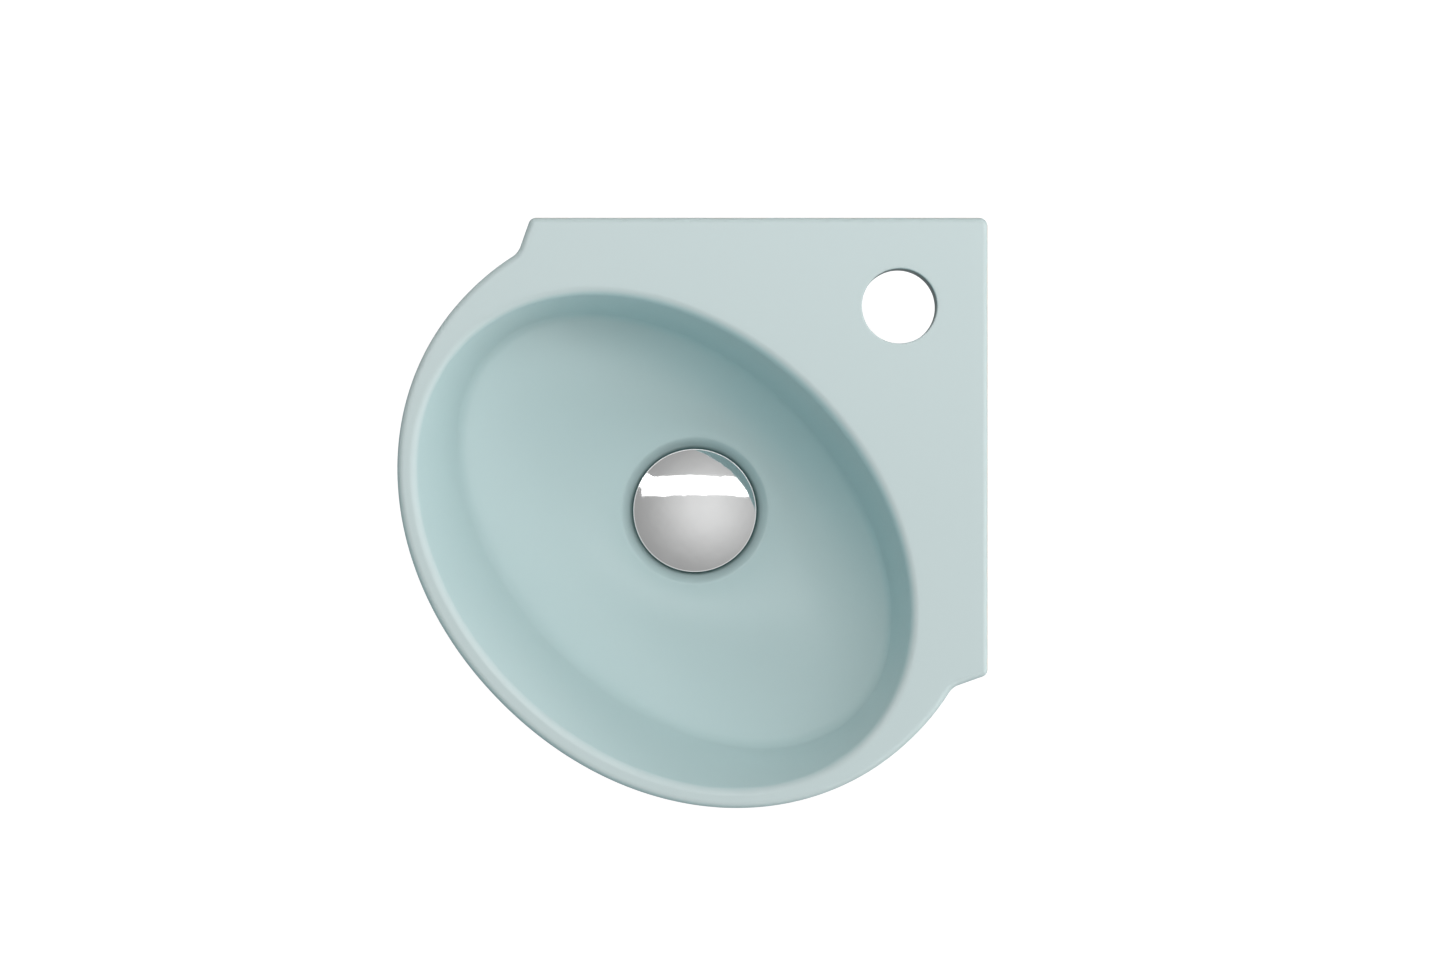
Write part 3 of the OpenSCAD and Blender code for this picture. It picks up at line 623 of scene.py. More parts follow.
@dataclass
class Plan:
    """The deck's outline, seen from above, in a frame at the waste axis whose +X runs to the front.

    The front is an oval: its points are the half lengths times the signed cosine and sine raised
    to 2 over the power. Each ear is a straight side that meets the oval in a hollow circle and the
    wall in a small corner circle.
    """

    waste_set: float = 150.0
    oval_side: float = 159.8
    oval_power: float = 2.05
    wall_side: float = 232.3
    ear_slant: float = 19.5
    ear_corner_r: float = 4.0
    wall_corner_r: float = 4.5
    ear_hollow_r: float = 10.0
    edge_r: float = 3.8
    wall_edge_r: float = 3.0
    ear_bevel: float = 1.5
    bevel_shares: tuple[float, ...] = (0.0, 0.3, 0.7, 1.0)
    hollow_range: tuple[float, float] = (60.0, 140.0)
    halvings: int = 50
    oval_steps: int = 150
    hollow_steps: int = 14
    corner_steps: int = 10
    wall_steps: int = 76
    points: Array = field(init=False)
    normals: Array = field(init=False)
    rounding: Array = field(init=False)
    bevel: Array = field(init=False)
    oval_front: float = field(init=False)

    def __post_init__(self) -> None:
        """Works out the outline."""
        support = self.oval_power / (self.oval_power - 1)
        self.oval_front = float(((self.waste_set * math.sqrt(2)) ** support
                                 - self.oval_side ** support) ** (1 / support))
        self.trace()

    def oval_point(self, a: Array) -> Array:
        """Points of the oval at parameter angles in radians."""
        p = 2 / self.oval_power
        return np.stack([self.oval_front * signed_power(np.cos(a), p),
                         self.oval_side * signed_power(np.sin(a), p)], axis=-1)

    def oval_normal(self, a: Array) -> Array:
        """Directions of the oval's normals in radians."""
        p = 2 - 2 / self.oval_power
        return np.arctan2(signed_power(np.sin(a), p) / self.oval_side,
                          signed_power(np.cos(a), p) / self.oval_front)

    def hollow_centre(self, a: float) -> Array:
        """Centre of the hollow circle that touches the oval at a parameter angle."""
        return self.oval_point(a) + self.ear_hollow_r * turned(self.oval_normal(a))

    def trace(self) -> None:
        """Puts the oval, hollow, ear corner, wall and wall corner into one closed outline.

        Halving finds the angle at which the hollow circle touches the ear's straight side too.
        """
        corner = np.array([-self.waste_set * math.sqrt(2), 0.0])
        ear_point = corner + self.wall_side * turned(math.pi / 4)
        side = math.radians(45 + self.ear_slant)
        low, high = np.radians(self.hollow_range)
        for _ in range(self.halvings):
            hollow = (low + high) / 2
            miss = (self.hollow_centre(hollow) - ear_point) @ turned(side) - self.ear_hollow_r
            low, high = (hollow, high) if miss > 0 else (low, hollow)
        hollow = low
        centre = self.hollow_centre(hollow)
        wall = 3 * math.pi / 4
        half = (wall - side) / 2
        ear = ear_point - self.ear_corner_r / math.cos(half) * turned(side + half)
        end = corner + np.array([self.wall_corner_r * math.sqrt(2), 0.0])
        wall_start = ear + self.ear_corner_r * turned(wall)
        wall_end = end + self.wall_corner_r * turned(wall)
        a = hollow * np.linspace(0, 1, self.oval_steps + 1)
        into, past, along = (np.linspace(0, 1, steps + 1) for steps in
                             (self.hollow_steps, self.corner_steps, self.wall_steps))
        into, along = into[1:], along[1:]
        hollow_turn = blend(self.oval_normal(hollow), side, into)
        ear_turn, end_turn = blend(side, wall, past), blend(wall, math.pi, past[1:])
        points = np.concatenate([
            self.oval_point(a), centre - self.ear_hollow_r * turned(hollow_turn),
            ear + self.ear_corner_r * turned(ear_turn), blend(wall_start, wall_end, along[:, None]),
            end + self.wall_corner_r * turned(end_turn)])
        plain = len(along) + len(end_turn)
        normals = np.concatenate([self.oval_normal(a), hollow_turn, ear_turn,
                                  np.full(len(along), wall), end_turn])
        rounding = np.concatenate([np.full(len(a) + len(into), self.edge_r),
                                   blend(self.edge_r, self.wall_edge_r, past),
                                   np.full(plain, self.wall_edge_r)])
        bevel = np.concatenate([np.zeros(len(a)), self.ear_bevel * into, self.ear_bevel * (1 - past),
                                np.zeros(plain)])
        back = slice(-2, 0, -1)
        self.points = np.concatenate([points, points[back] * [1, -1]])
        self.normals = np.concatenate([normals, -normals[back]])
        self.rounding = np.concatenate([rounding, rounding[back]])
        self.bevel = np.concatenate([bevel, bevel[back]])


@dataclass
class Casting:
    """The ceramic casting: deck, bowl, recess, underside, holes, wall aprons and fixing bosses.

    The bowl and deck are rings of points about the waste axis, all at the outline's polar angles,
    from the waste hole over the rim to the flat foot. Narrow flats beside the roundings (strip,
    strip_rim, tap_strip) keep the deck's shading level. The net is the grid of points inside the
    aprons' faces, with its distances from the sides, from top and bottom, and from every edge.
    """

    plan: Plan = field(default_factory=Plan)
    deck_t: float = 12.0
    mouth_shift: float = 20.7
    mouth_front: float = 105.85
    mouth_side: float = 142.6
    mouth_rear_r: float = 4.8
    mouth_front_r: float = 3.2
    crease_rear_depth: float = 70.0
    crease_end_depth: float = 56.0
    crease_shift: float = 14.0
    crease_front: float = 89.95
    crease_side: float = 137.0
    crease_r: float = 4.5
    bowl_depth: float = 95.0
    recess_r: float = 41.2
    recess_depth: float = 4.0
    seat_r: float = 33.6
    recess_foot: float = 0.3
    recess_top: float = 0.16
    recess_flat: float = 1.2
    dish_power: float = 1.75
    basin_h: float = 120.0
    hull_rear: float = 102.15
    hull_rear_power: float = 2.5
    hull_fall: float = 124.0
    hull_power: float = 2.6
    hull_fillet: float = 8.0
    side_share: float = 0.7
    lip_blend: float = 5.0
    apron_t: float = 14.0
    apron_h: float = 90.0
    apron_reach: float = 224.0
    apron_end_r: float = 34.0
    apron_corner_r: float = 12.0
    apron_outer_r: float = 7.1
    apron_edge: float = 2.0
    apron_sink: float = 0.3
    apron_steps: int = 150
    apron_net: tuple[int, int] = (120, 7)
    apron_net_inset: tuple[float, float, float] = (4.0, 6.0, 3.0)
    tap_set: float = 45.0
    tap_r: float = 19.0
    tap_bevel: float = 0.8
    fix_set: float = 110.0
    fix_drop: float = 52.0
    fix_r: float = 7.0
    fix_edge: float = 0.6
    boss_r: float = 18.0
    boss_h: float = 4.0
    boss_foot: float = 2.4
    boss_edge: float = 1.4
    boss_mouth: float = 0.7
    boss_root: float = 1.2
    boss_lead: float = 0.8
    boss_sink: float = 0.02
    waste_r: float = 23.0
    waste_edge: float = 0.6
    seat_rings: tuple[float, ...] = (25.0, 30.0)
    foot_ring: float = 30.0
    strip: float = 0.6
    strip_rim: float = 0.15
    tap_strip: float = 0.4
    tap_under: float = 0.5
    hole_steps: int = 96
    recess_steps: int = 16
    dish_steps: int = 34
    crease_steps: int = 14
    side_steps: int = 11
    mouth_steps: int = 14
    rim_steps: int = 10
    fillet_steps: int = 8
    hull_steps: int = 32
    turns: Array = field(init=False)
    lip: Array = field(init=False)
    hull_reach: Array = field(init=False)
    side_z: Array = field(init=False)
    crease_reach: Array = field(init=False)
    crease_depth: Array = field(init=False)
    mouth_r: Array = field(init=False)
    seat_z: float = field(init=False)
    apron_length: float = field(init=False)

    def __post_init__(self) -> None:
        """Works out the polar angles, the hull's reach and the height of the plain side."""
        plan = self.plan
        self.seat_z = -(self.bowl_depth + self.recess_depth)
        self.apron_length = 2 * (self.apron_reach - self.apron_outer_r) + math.pi / 2 * self.apron_outer_r
        self.turns = np.arctan2(plan.points[:, 1], plan.points[:, 0])
        reach = np.linalg.norm(plan.points, axis=1)
        c, s = np.cos(self.turns), np.sin(self.turns)
        power = np.where(c >= 0, plan.oval_power, self.hull_rear_power)
        front = np.where(c >= 0, plan.oval_front, self.hull_rear)
        hull = ((np.abs(c) / front) ** power + (np.abs(s) / plan.oval_side) ** power) ** (-1 / power)
        self.hull_reach = np.minimum(hull, reach)
        self.lip = reach - self.hull_reach
        self.side_z = -self.deck_t * (self.side_share + (1 - self.side_share)
                                      * np.minimum(1, self.lip / self.lip_blend))
        self.crease_reach = self.ellipse(self.crease_shift, self.crease_front, self.crease_side)
        near = self.crease_front - self.crease_shift
        self.crease_depth = blend(self.crease_rear_depth, self.crease_end_depth,
                                  (self.crease_reach - near) / (self.crease_side - near))
        self.mouth_r = blend(self.mouth_front_r, self.mouth_rear_r, (1 - c) / 2)

    def ellipse(self, shift: Array | float, front: Array | float, side: Array | float) -> Array:
        """Distance from the waste axis to an ellipse centred some way along the diagonal, at each turn.

        It is the positive root of the quadratic that a ray and the ellipse give.
        """
        c, s = np.cos(self.turns), np.sin(self.turns)
        square = (c / front) ** 2 + (s / side) ** 2
        line = shift * c / np.square(front)
        return (line + np.sqrt(line ** 2 - square * (np.square(shift / front) - 1))) / square

    def wall_at(self, share: Array | float) -> tuple[Array, Array]:
        """The bowl's wall from its sharp mouth, share 0, to the crease, share 1: reach and height."""
        return (self.ellipse(blend(self.mouth_shift, self.crease_shift, share),
                             blend(self.mouth_front, self.crease_front, share),
                             blend(self.mouth_side, self.crease_side, share)),
                -self.crease_depth * share)

    def dish_at(self, share: Array | float) -> tuple[Array, Array]:
        """The dish from the crease, share 0, to the flat by the recess, share 1: reach and height.

        The height eases from the crease's depth to the bowl's by 1 less the share, to a power.
        """
        return (blend(self.crease_reach, self.recess_r + self.recess_flat, share),
                -blend(self.bowl_depth, self.crease_depth, (1 - share) ** self.dish_power))

    def recess_rise(self, share: float) -> float:
        """How far the recess's side has risen: a straight slope that eases in at its foot and its top."""
        steep = 1 / (1 - (self.recess_foot + self.recess_top) / 2)
        if share < self.recess_foot:
            return steep * share ** 2 / (2 * self.recess_foot)
        if share > 1 - self.recess_top:
            return 1 - steep * (1 - share) ** 2 / (2 * self.recess_top)
        return steep * (share - self.recess_foot / 2)

    def ring(self, reach: Array | float, height: Array | float) -> Array:
        """One ring of points from reaches and heights."""
        return round_grid(reach, self.turns, height)

    def bowl_rings(self) -> list[Array]:
        """Rings from the waste hole over recess, dish, crease and wall to the flat deck."""
        seat, edge = self.seat_z, self.waste_edge
        out = [self.ring(self.waste_r + grow, seat - down) for grow, down in edge * quarter(3)]
        out += [self.ring(r, seat) for r in self.seat_rings]
        for s in np.linspace(0, 1, self.recess_steps + 1):
            out.append(self.ring(blend(self.seat_r, self.recess_r, s),
                                 seat + self.recess_depth * self.recess_rise(float(s))))
        bend = self.crease_r / (self.crease_reach - self.recess_r - self.recess_flat)
        out += [self.ring(*self.dish_at(blend(1.0, bend, s)))
                for s in np.linspace(0, 1, self.dish_steps + 1)]
        top = self.wall_at(1 - self.crease_r / self.crease_depth)
        crease = (self.crease_reach, -self.crease_depth)
        foot = self.dish_at(bend)
        for s in np.linspace(1, 0, self.crease_steps + 1)[1:]:
            out.append(self.ring(*(blend(blend(a, b, s), blend(b, c, s), s)
                                   for a, b, c in zip(top, crease, foot))))
        for s in np.linspace(0, 1, self.side_steps + 1)[1:-1]:
            depth = blend(self.crease_depth - self.crease_r, self.mouth_r, s)
            out.append(self.ring(*self.wall_at(depth / self.crease_depth)))
        for down, back in quarter(self.mouth_steps)[::-1]:
            depth, grow = self.mouth_r * down, self.mouth_r * back
            s = depth / self.crease_depth
            out.append(self.ring(self.ellipse(blend(self.mouth_shift, self.crease_shift, s),
                                              blend(self.mouth_front, self.crease_front, s) + grow,
                                              blend(self.mouth_side, self.crease_side, s) + grow), -depth))
        last = out[-1]
        out.append(last * (1 + self.strip / np.linalg.norm(last[:, :2], axis=1, keepdims=True)))
        return out

    def rim_rings(self) -> list[Array]:
        """Rings from the flat deck over the edge rounding down the side to the bevel's foot."""
        plan = self.plan
        rows = [(plan.rounding + self.strip_rim, np.zeros_like(plan.rounding))]
        rows += [(plan.rounding * back, -plan.rounding * down) for down, back in quarter(self.rim_steps)]
        rows += [(plan.bevel * back, self.side_z + plan.ear_bevel * up)
                 for back, up in quarter(plan.bevel_shares)]
        away = turned(plan.normals)
        return [np.column_stack([plan.points - inset[:, None] * away, height]) for inset, height in rows]

    def hull_rings(self) -> list[Array]:
        """Rings from the deck's underside over the fillet and the outside of the bowl to the foot."""
        grow = self.lip * self.hull_fillet / (self.lip + self.hull_fillet)
        rows = [(self.deck_t + self.hull_fillet * down, grow * out)
                for down, out in quarter(self.fillet_steps)]
        rows += [(blend(self.basin_h, self.deck_t + self.hull_fillet, up), 0.0)
                 for _, up in quarter(self.hull_steps)[1:]]
        return [self.ring(self.hull_reach * self.hull_share(depth) + more, -depth) for depth, more in rows]

    def hull_share(self, depth: float) -> float:
        """How far the outside still reaches at a depth: a power curve that closes at the fall's depth."""
        return (1 - (depth / self.hull_fall) ** self.hull_power) ** (1 / self.hull_power)

    def put(self, ring: Array) -> Array:
        """Turns points from the frame at the waste axis to the model's."""
        (c, s), away = turned(math.radians(225)), self.tap_set - self.plan.waste_set
        out = ring.copy()
        out[..., :2] = ring[..., :2] @ np.array([[c, s], [-s, c]]) + away
        return out

    def holed_strip(self, skin: Skin, inner: Array, outer: Array, radius: float, height: float,
                    half: int, flip: bool) -> Array:
        """Fills the flat strip between two rings, with the tap hole in its rear stretch.

        Args:
            skin: The mesh in the making.
            inner: Numbers of the inner ring's points.
            outer: Numbers of the outer ring's points.
            radius: Radius of the hole's loop.
            height: Height of the strip.
            half: Steps that the stretch with the hole runs to either side.
            flip: Turns the faces over.

        Returns:
            The numbers of the points on the hole's loop.
        """
        rear = len(inner) // 2
        quads = np.stack([inner, np.roll(inner, -1), np.roll(outer, -1), outer], axis=-1)
        quads = np.delete(quads, np.arange(rear - half, rear + half), axis=0)
        skin.add_faces(quads, flip)
        points = np.concatenate(skin.points)
        chosen = np.arange(rear - half, rear + half + 1)
        loop = np.concatenate([points[outer[chosen]], points[inner[chosen[::-1]]]])[:, :2]
        hole = radius * turned(full_turn(self.hole_steps))
        return skin.add_flat([loop, hole], lambda flat: np.column_stack([flat, np.full(len(flat), height)]),
                             flip=not flip)[1]

    def shell(self, skin: Skin) -> None:
        """Adds deck, bowl, underside, waste hole and tap hole as one closed surface."""
        plan = self.plan
        bowl, rim, hull = (skin.add_grid(self.put(np.array(rings)), flip=True)
                           for rings in (self.bowl_rings(), self.rim_rings(), self.hull_rings()))
        # The deck is filled as one flat past both ears, where four-sided faces would fold over.
        to_ears = plan.wall_steps + 2 * plan.corner_steps + plan.hollow_steps + 2
        top = self.holed_strip(skin, bowl[-1], rim[0], self.tap_r + self.tap_bevel + self.tap_strip,
                               0.0, to_ears, True)
        under = self.holed_strip(skin, hull[0], rim[-1], self.tap_r + self.tap_bevel, -self.deck_t,
                                 plan.wall_steps // 2, False)
        self.tap_hole(skin, top, under)
        self.foot(skin, bowl[0], hull[-1])

    def tap_hole(self, skin: Skin, top: Array, under: Array) -> None:
        """Adds the tap hole's rounded edges and wall between its two loops."""
        bevel, low = self.tap_bevel, self.tap_under
        profile = np.concatenate([arc((self.tap_r + bevel, -bevel), bevel, 90, 180, 6),
                                  arc((self.tap_r + low, low - self.deck_t), low, 180, 270, 4)])
        numbers = skin.add_grid(revolved(profile, self.hole_steps))
        skin.bridge(top, numbers[0])
        skin.bridge(numbers[-1], under)

    def foot(self, skin: Skin, hole: Array, edge: Array) -> None:
        """Adds the waste hole's wall and the flat foot of the casting."""
        rows = [self.ring(self.waste_r, self.seat_z - self.waste_edge)]
        rows += [self.ring(self.waste_r + out, up - self.basin_h)
                 for out, up in self.waste_edge * quarter(3)]
        rows.append(self.ring(self.foot_ring, -self.basin_h))
        numbers = skin.add_grid(self.put(np.array(rows)))
        skin.bridge(hole, numbers[0])
        skin.bridge(numbers[-1], edge)

    def apron_place(self, out: float) -> Callable[[Array], Array]:
        """Carries points of the unrolled apron to the L that stands against both walls.

        The plane's first number runs along the outer face from the right wall's free end round the
        corner to the back wall's, and the second is the height. out is the depth into the ware.
        """
        outer_r, inner_r = self.apron_outer_r, self.apron_corner_r
        straight = self.apron_reach - outer_r
        bend = math.pi / 2 * outer_r
        reach = bend / 2 + self.apron_t + inner_r - outer_r
        outer_at, inner_at = self.tap_set - outer_r, self.tap_set - self.apron_t - inner_r

        def place(flat: Array) -> Array:
            """Gives the points' places in millimetres."""
            u, z = flat[:, 0], flat[:, 1]
            share = np.clip((u - straight) / bend, 0, 1)
            outer = outer_at + outer_r * turned(share * math.pi / 2)
            outer[:, 1] += np.where(share <= 0, u - straight, 0)
            outer[:, 0] -= np.where(share >= 1, u - straight - bend, 0)
            past = (u - straight - bend / 2) / reach
            inner = inner_at + inner_r * turned(math.pi / 4 * (1 + np.clip(past, -1, 1)))
            inner[:, 1] = np.where(past <= -1, np.minimum(outer[:, 1], inner_at), inner[:, 1])
            inner[:, 0] = np.where(past >= 1, np.minimum(outer[:, 0], inner_at), inner[:, 0])
            # What stands inside the deck is sunk a little, so that no two faces lie on each other.
            sunk = np.where(z > -self.deck_t + 0.01, self.apron_sink, 0.0)[:, None]
            return np.column_stack([blend(outer, inner, (out + sunk) / self.apron_t), z])
        return place

    def apron_loop(self, inset: float, top: float) -> Array:
        """The unrolled apron's edge, drawn in by an inset: a strip with both lower ends rounded."""
        length, steps = self.apron_length, self.apron_steps
        low, r = -self.apron_h + inset, self.apron_end_r - inset
        left = arc((inset + r, low + r), r, 180, 270, 20)
        right = arc((length - inset - r, low + r), r, 270, 360, 20)
        along = np.linspace(inset + r, length - inset - r, steps)[1:-1]
        back = np.linspace(length - inset, inset, steps + 10)
        return np.concatenate([left, np.column_stack([along, np.full_like(along, low)]), right,
                               np.column_stack([back, np.full_like(back, top)])])

    def aprons(self, skin: Skin) -> None:
        """Adds the two wall aprons as one L with rounded edges and two fixing holes."""
        edge, mouth, thick, top = self.apron_edge, self.fix_edge, self.apron_t, -self.deck_t / 2
        along = self.apron_reach - self.fix_set
        holes = [np.array([u, -self.fix_drop]) for u in (along, self.apron_length - along)]
        circle = turned(-full_turn(64))

        def through(near: list[tuple[float, float]]) -> list[tuple[float, float]]:
            """Depths and widths from the outer face on, then the same ones back to the inner face."""
            return near + [(thick - depth, width) for depth, width in near[::-1]]

        edge_rows = through([tuple(row) for row in edge * quarter(5)])
        grids = [skin.add_grid(np.array([self.apron_place(depth)(self.apron_loop(inset, top))
                                         for depth, inset in edge_rows]), flip=True)]
        mouth_rows = through([(0.0, mouth), (mouth / 3, mouth / 3), (mouth, 0.0)])
        grids += [skin.add_grid(np.array([self.apron_place(depth)(hole + (self.fix_r + grow) * circle)
                                          for depth, grow in mouth_rows]), flip=True) for hole in holes]
        sides, ends, clear = self.apron_net_inset
        u = np.linspace(edge + sides, self.apron_length - edge - sides, self.apron_net[0])
        v = np.linspace(-self.apron_h + edge + ends, top - ends, self.apron_net[1])
        extra = np.stack(np.meshgrid(u, v), axis=-1).reshape(-1, 2)
        keep = inside(self.apron_loop(edge + clear, top - clear), extra)
        for hole in holes:
            keep &= np.linalg.norm(extra - hole, axis=1) > self.fix_r + clear
        loops = [self.apron_loop(edge, top)] + [hole + (self.fix_r + mouth) * circle for hole in holes]
        for depth, row, far in ((0.0, 0, False), (thick, -1, True)):
            made = skin.add_flat(loops, self.apron_place(depth), flip=far, extra=extra[keep])
            for grid, loop in zip(grids, made):
                skin.bridge(grid[row], loop, flip=not far)

    def bosses(self, skin: Skin) -> None:
        """Adds the ring-shaped boss round each fixing hole, with a soft foot on the apron."""
        height, foot, root = self.boss_h, self.boss_foot, -self.boss_root
        edge, mouth = self.boss_edge, self.boss_mouth
        profile = np.concatenate([
            [[self.fix_r + self.boss_lead, root], [self.fix_r, root + self.boss_lead],
             [self.fix_r, height - mouth]],
            arc((self.fix_r + mouth, height - mouth), mouth, 180, 90, 5),
            arc((self.boss_r - edge, height - edge), edge, 90, 0, 7),
            arc((self.boss_r + foot, foot - self.boss_sink), foot, 180, 270, 7),
            [[self.boss_r + foot, root]]])
        centre = (self.tap_set - self.fix_set, -self.fix_drop)
        upright = wrapped(revolved(profile, self.hole_steps, centre))
        upright[..., 2] = self.tap_set - self.apron_t - upright[..., 2]
        skin.add_grid(upright[..., [2, 0, 1]])
        skin.add_grid(upright[..., [0, 2, 1]], flip=True)

    def build(self, finishes: dict[Slot, bpy.types.Material]) -> Piece:
        """Builds the casting."""
        skin = Skin()
        self.shell(skin)
        self.aprons(skin)
        self.bosses(skin)
        made = skin.make("ceramic_casting", finishes[Slot.GLAZE], sharp=50.0)
        return Piece(made, "basin", Slot.GLAZE, ("basin",))


# The waste

@dataclass
class Waste:
    """The waste and its fastenings below the bowl: flanged tube, gaskets, slip washer and backnut."""

    at: tuple[float, float] = WASTE_AT
    flange_r: float = 32.5
    flange_z: float = -98.0
    flange_top_z: float = -95.8
    throat_z: float = -98.7
    throat_r: float = 18.0
    mouth_w: float = 4.4
    mouth_drop: float = 0.73
    flange_edges: tuple[float, float] = (0.6, 0.9)
    tail_edge: float = 0.7
    run_out: float = 0.3
    thread_r: float = 20.95
    thread_depth: float = 0.95
    thread_slope: float = 2.5
    thread_crest: float = 0.1
    thread_fade: float = 0.6
    pitch: float = 2.309
    pitch_rows: int = 9
    end_z: float = -184.0
    relief_z: float = -160.0
    relief_w: float = 3.0
    relief_t: float = 1.2
    hub_r: float = 9.0
    hub_bore: float = 5.05
    spider_z: float = -156.45
    spider_t: float = 6.0
    spider_w: float = 3.0
    hub_edges: tuple[float, float] = (0.5, 0.8)
    arm_edges: tuple[float, float] = (0.4, 1.2)
    arm_swell: tuple[float, ...] = (1.5, 1.15, 1.0, 1.35, 1.5)
    flange_gasket: tuple[float, float, float] = (23.0, 31.4, 1.0)
    under_z: float = -120.0
    collar_r: float = 22.75
    collar_h: float = 4.0
    gasket_z: float = -125.5
    slip_z: float = -127.5
    backnut_z: float = -135.5
    backnut_af: float = 54.0
    backnut_chamfer: float = 1.4
    backnut_slope: float = 2.4
    backnut_flat: float = 0.2
    backnut_blunt: float = 0.5
    backnut_mouth: float = 0.9
    washer_r: float = 31.0
    ring_gap: float = 0.25
    nut_gap: float = 0.05
    columns: int = 120

    def threaded(self, low: float, high: float) -> Array:
        """The outside of a threaded stretch as one surface of angle and height.

        The radius is the crest's less the depth times a rounded triangle wave of the height over
        the pitch less the turn, and it runs out to the root at both ends.
        """
        rows = int((high - low) / self.pitch * self.pitch_rows) + 1
        z = np.linspace(high, low, rows)[:, None]
        angle = full_turn(self.columns)
        phase = (z / self.pitch - angle / (2 * np.pi)) % 1.0
        wave = np.clip(np.abs(phase - 0.5) * self.thread_slope - self.thread_crest, 0, 1)
        fade = np.clip(np.minimum(z - low, high - z) / (self.thread_fade * self.pitch), 0, 1)
        return round_grid(self.thread_r - self.thread_depth * (1 - (1 - wave) * fade), angle, z, self.at)

    def tube(self, skin: Skin) -> None:
        """Adds the flange, throat, bore, both threads and the relief groove as one closed skin.

        The small numbers in the profile break its corners.
        """
        root = self.thread_r - self.thread_depth
        mouth, throat, end, gap = self.throat_r + self.mouth_w, self.throat_r, self.end_z, self.run_out
        under, edge = self.flange_edges
        top = np.concatenate([
            [[root, self.flange_z - 0.2], [self.thread_r, self.flange_z]],
            arc((self.flange_r - under, self.flange_z + under), under, 270, 360, 5),
            arc((self.flange_r - edge, self.flange_top_z - edge), edge, 0, 90, 7),
            [[mouth + 1.2, self.flange_top_z - 0.25], [mouth, self.flange_top_z - self.mouth_drop],
             [throat + 0.5, self.throat_z + 0.25], [throat, self.throat_z - 0.4],
             [throat, end + self.tail_edge], [throat + 0.25, end + 0.18],
             [throat + self.tail_edge, end], [root - 0.4, end], [root, end + 0.4]]])
        body = skin.add_grid(revolved(top, self.columns, self.at))
        low = skin.add_grid(self.threaded(self.end_z + 0.5, self.relief_z), flip=True)
        groove_r = self.thread_r - self.relief_t
        groove = skin.add_grid(revolved(np.array([[groove_r, self.relief_z + gap],
                                                  [groove_r, self.relief_z + self.relief_w - gap]]),
                                        self.columns, self.at))
        high = skin.add_grid(self.threaded(self.relief_z + self.relief_w, self.flange_z - gap), flip=True)
        skin.bridge(low[-1], body[-1], flip=True)
        skin.bridge(groove[0], low[0], flip=True)
        skin.bridge(high[-1], groove[-1], flip=True)
        skin.bridge(body[0], high[0], flip=True)

    def spider(self, skin: Skin) -> None:
        """Adds the hub and its four arms, each arm a bar with rounded upper edges."""
        z0, z1 = self.spider_z, self.spider_z + self.spider_t
        near, far = self.hub_edges
        profile = rounded_profile([(self.hub_bore, z0, near), (self.hub_r, z0, far), (self.hub_r, z1, far),
                                   (self.hub_bore, z1, near)])
        skin.add_grid(revolved(wrapped(profile), 72, self.at))
        w = self.spider_w / 2
        under, over = self.arm_edges
        bar = rounded_profile([(-w, z0, under), (w, z0, under), (w, z1, over), (-w, z1, over)], 5)
        reach = np.array([self.hub_r - 1.0, self.hub_r, self.throat_r - 0.8, self.throat_r,
                          self.throat_r + 1.0])
        across = bar[:, 0] * np.array(self.arm_swell)[:, None]
        for out in turned(math.pi / 4 + full_turn(4)):
            grid = np.empty((*across.shape, 3))
            grid[..., 0] = self.at[0] + out[0] * reach[:, None] - out[1] * across
            grid[..., 1] = self.at[1] + out[1] * reach[:, None] + out[0] * across
            grid[..., 2] = bar[:, 1]
            numbers = skin.add_grid(grid, flip=True)
            middle = grid[[0, -1]].mean(axis=1)
            skin.add_fan(numbers[0], middle[0])
            skin.add_fan(numbers[-1], middle[1], flip=True)

    def ring_piece(self, name: str, corners: Sequence[tuple[float, float, float]],
                   finish: bpy.types.Material) -> bpy.types.Object:
        """A ring turned from a profile with rounded corners."""
        skin = Skin()
        skin.add_grid(revolved(wrapped(rounded_profile(corners)), 144, self.at))
        return skin.make(name, finish)

    def backnut(self, finish: bpy.types.Material) -> bpy.types.Object:
        """The hexagon nut: its radius is the hexagon's, held inside the cones of both chamfers."""
        z0, z1 = self.backnut_z, self.slip_z
        tall, chamfer, mouth = z1 - z0, self.backnut_chamfer, self.backnut_mouth
        near = np.linspace(0.0, chamfer, 7)
        rows = np.concatenate([[0.0], near, np.linspace(chamfer, tall - chamfer, 8)[1:-1],
                               tall - near[::-1], [tall]])
        angle = full_turn(2 * self.columns)
        turn = (angle + math.pi / 6) % (math.pi / 3) - math.pi / 6
        flat = self.backnut_af / 2
        hexagon = np.minimum(flat / np.cos(turn), flat / math.cos(math.pi / 6) - self.backnut_blunt)
        cone = flat + self.backnut_flat + self.backnut_slope * np.minimum(rows, tall - rows)
        radius = np.minimum(hexagon, cone[:, None])
        inner = self.thread_r + self.nut_gap
        radius[0] = radius[-1] = inner + mouth
        bore = np.full((1, len(angle)), inner)
        height = np.concatenate([[z0 + mouth], z0 + rows, [z1 - mouth]])[:, None]
        skin = Skin()
        skin.add_grid(wrapped(round_grid(np.vstack([bore, radius, bore]), angle, height, self.at)))
        return skin.make("backnut_hexagon", finish, sharp=25.0)

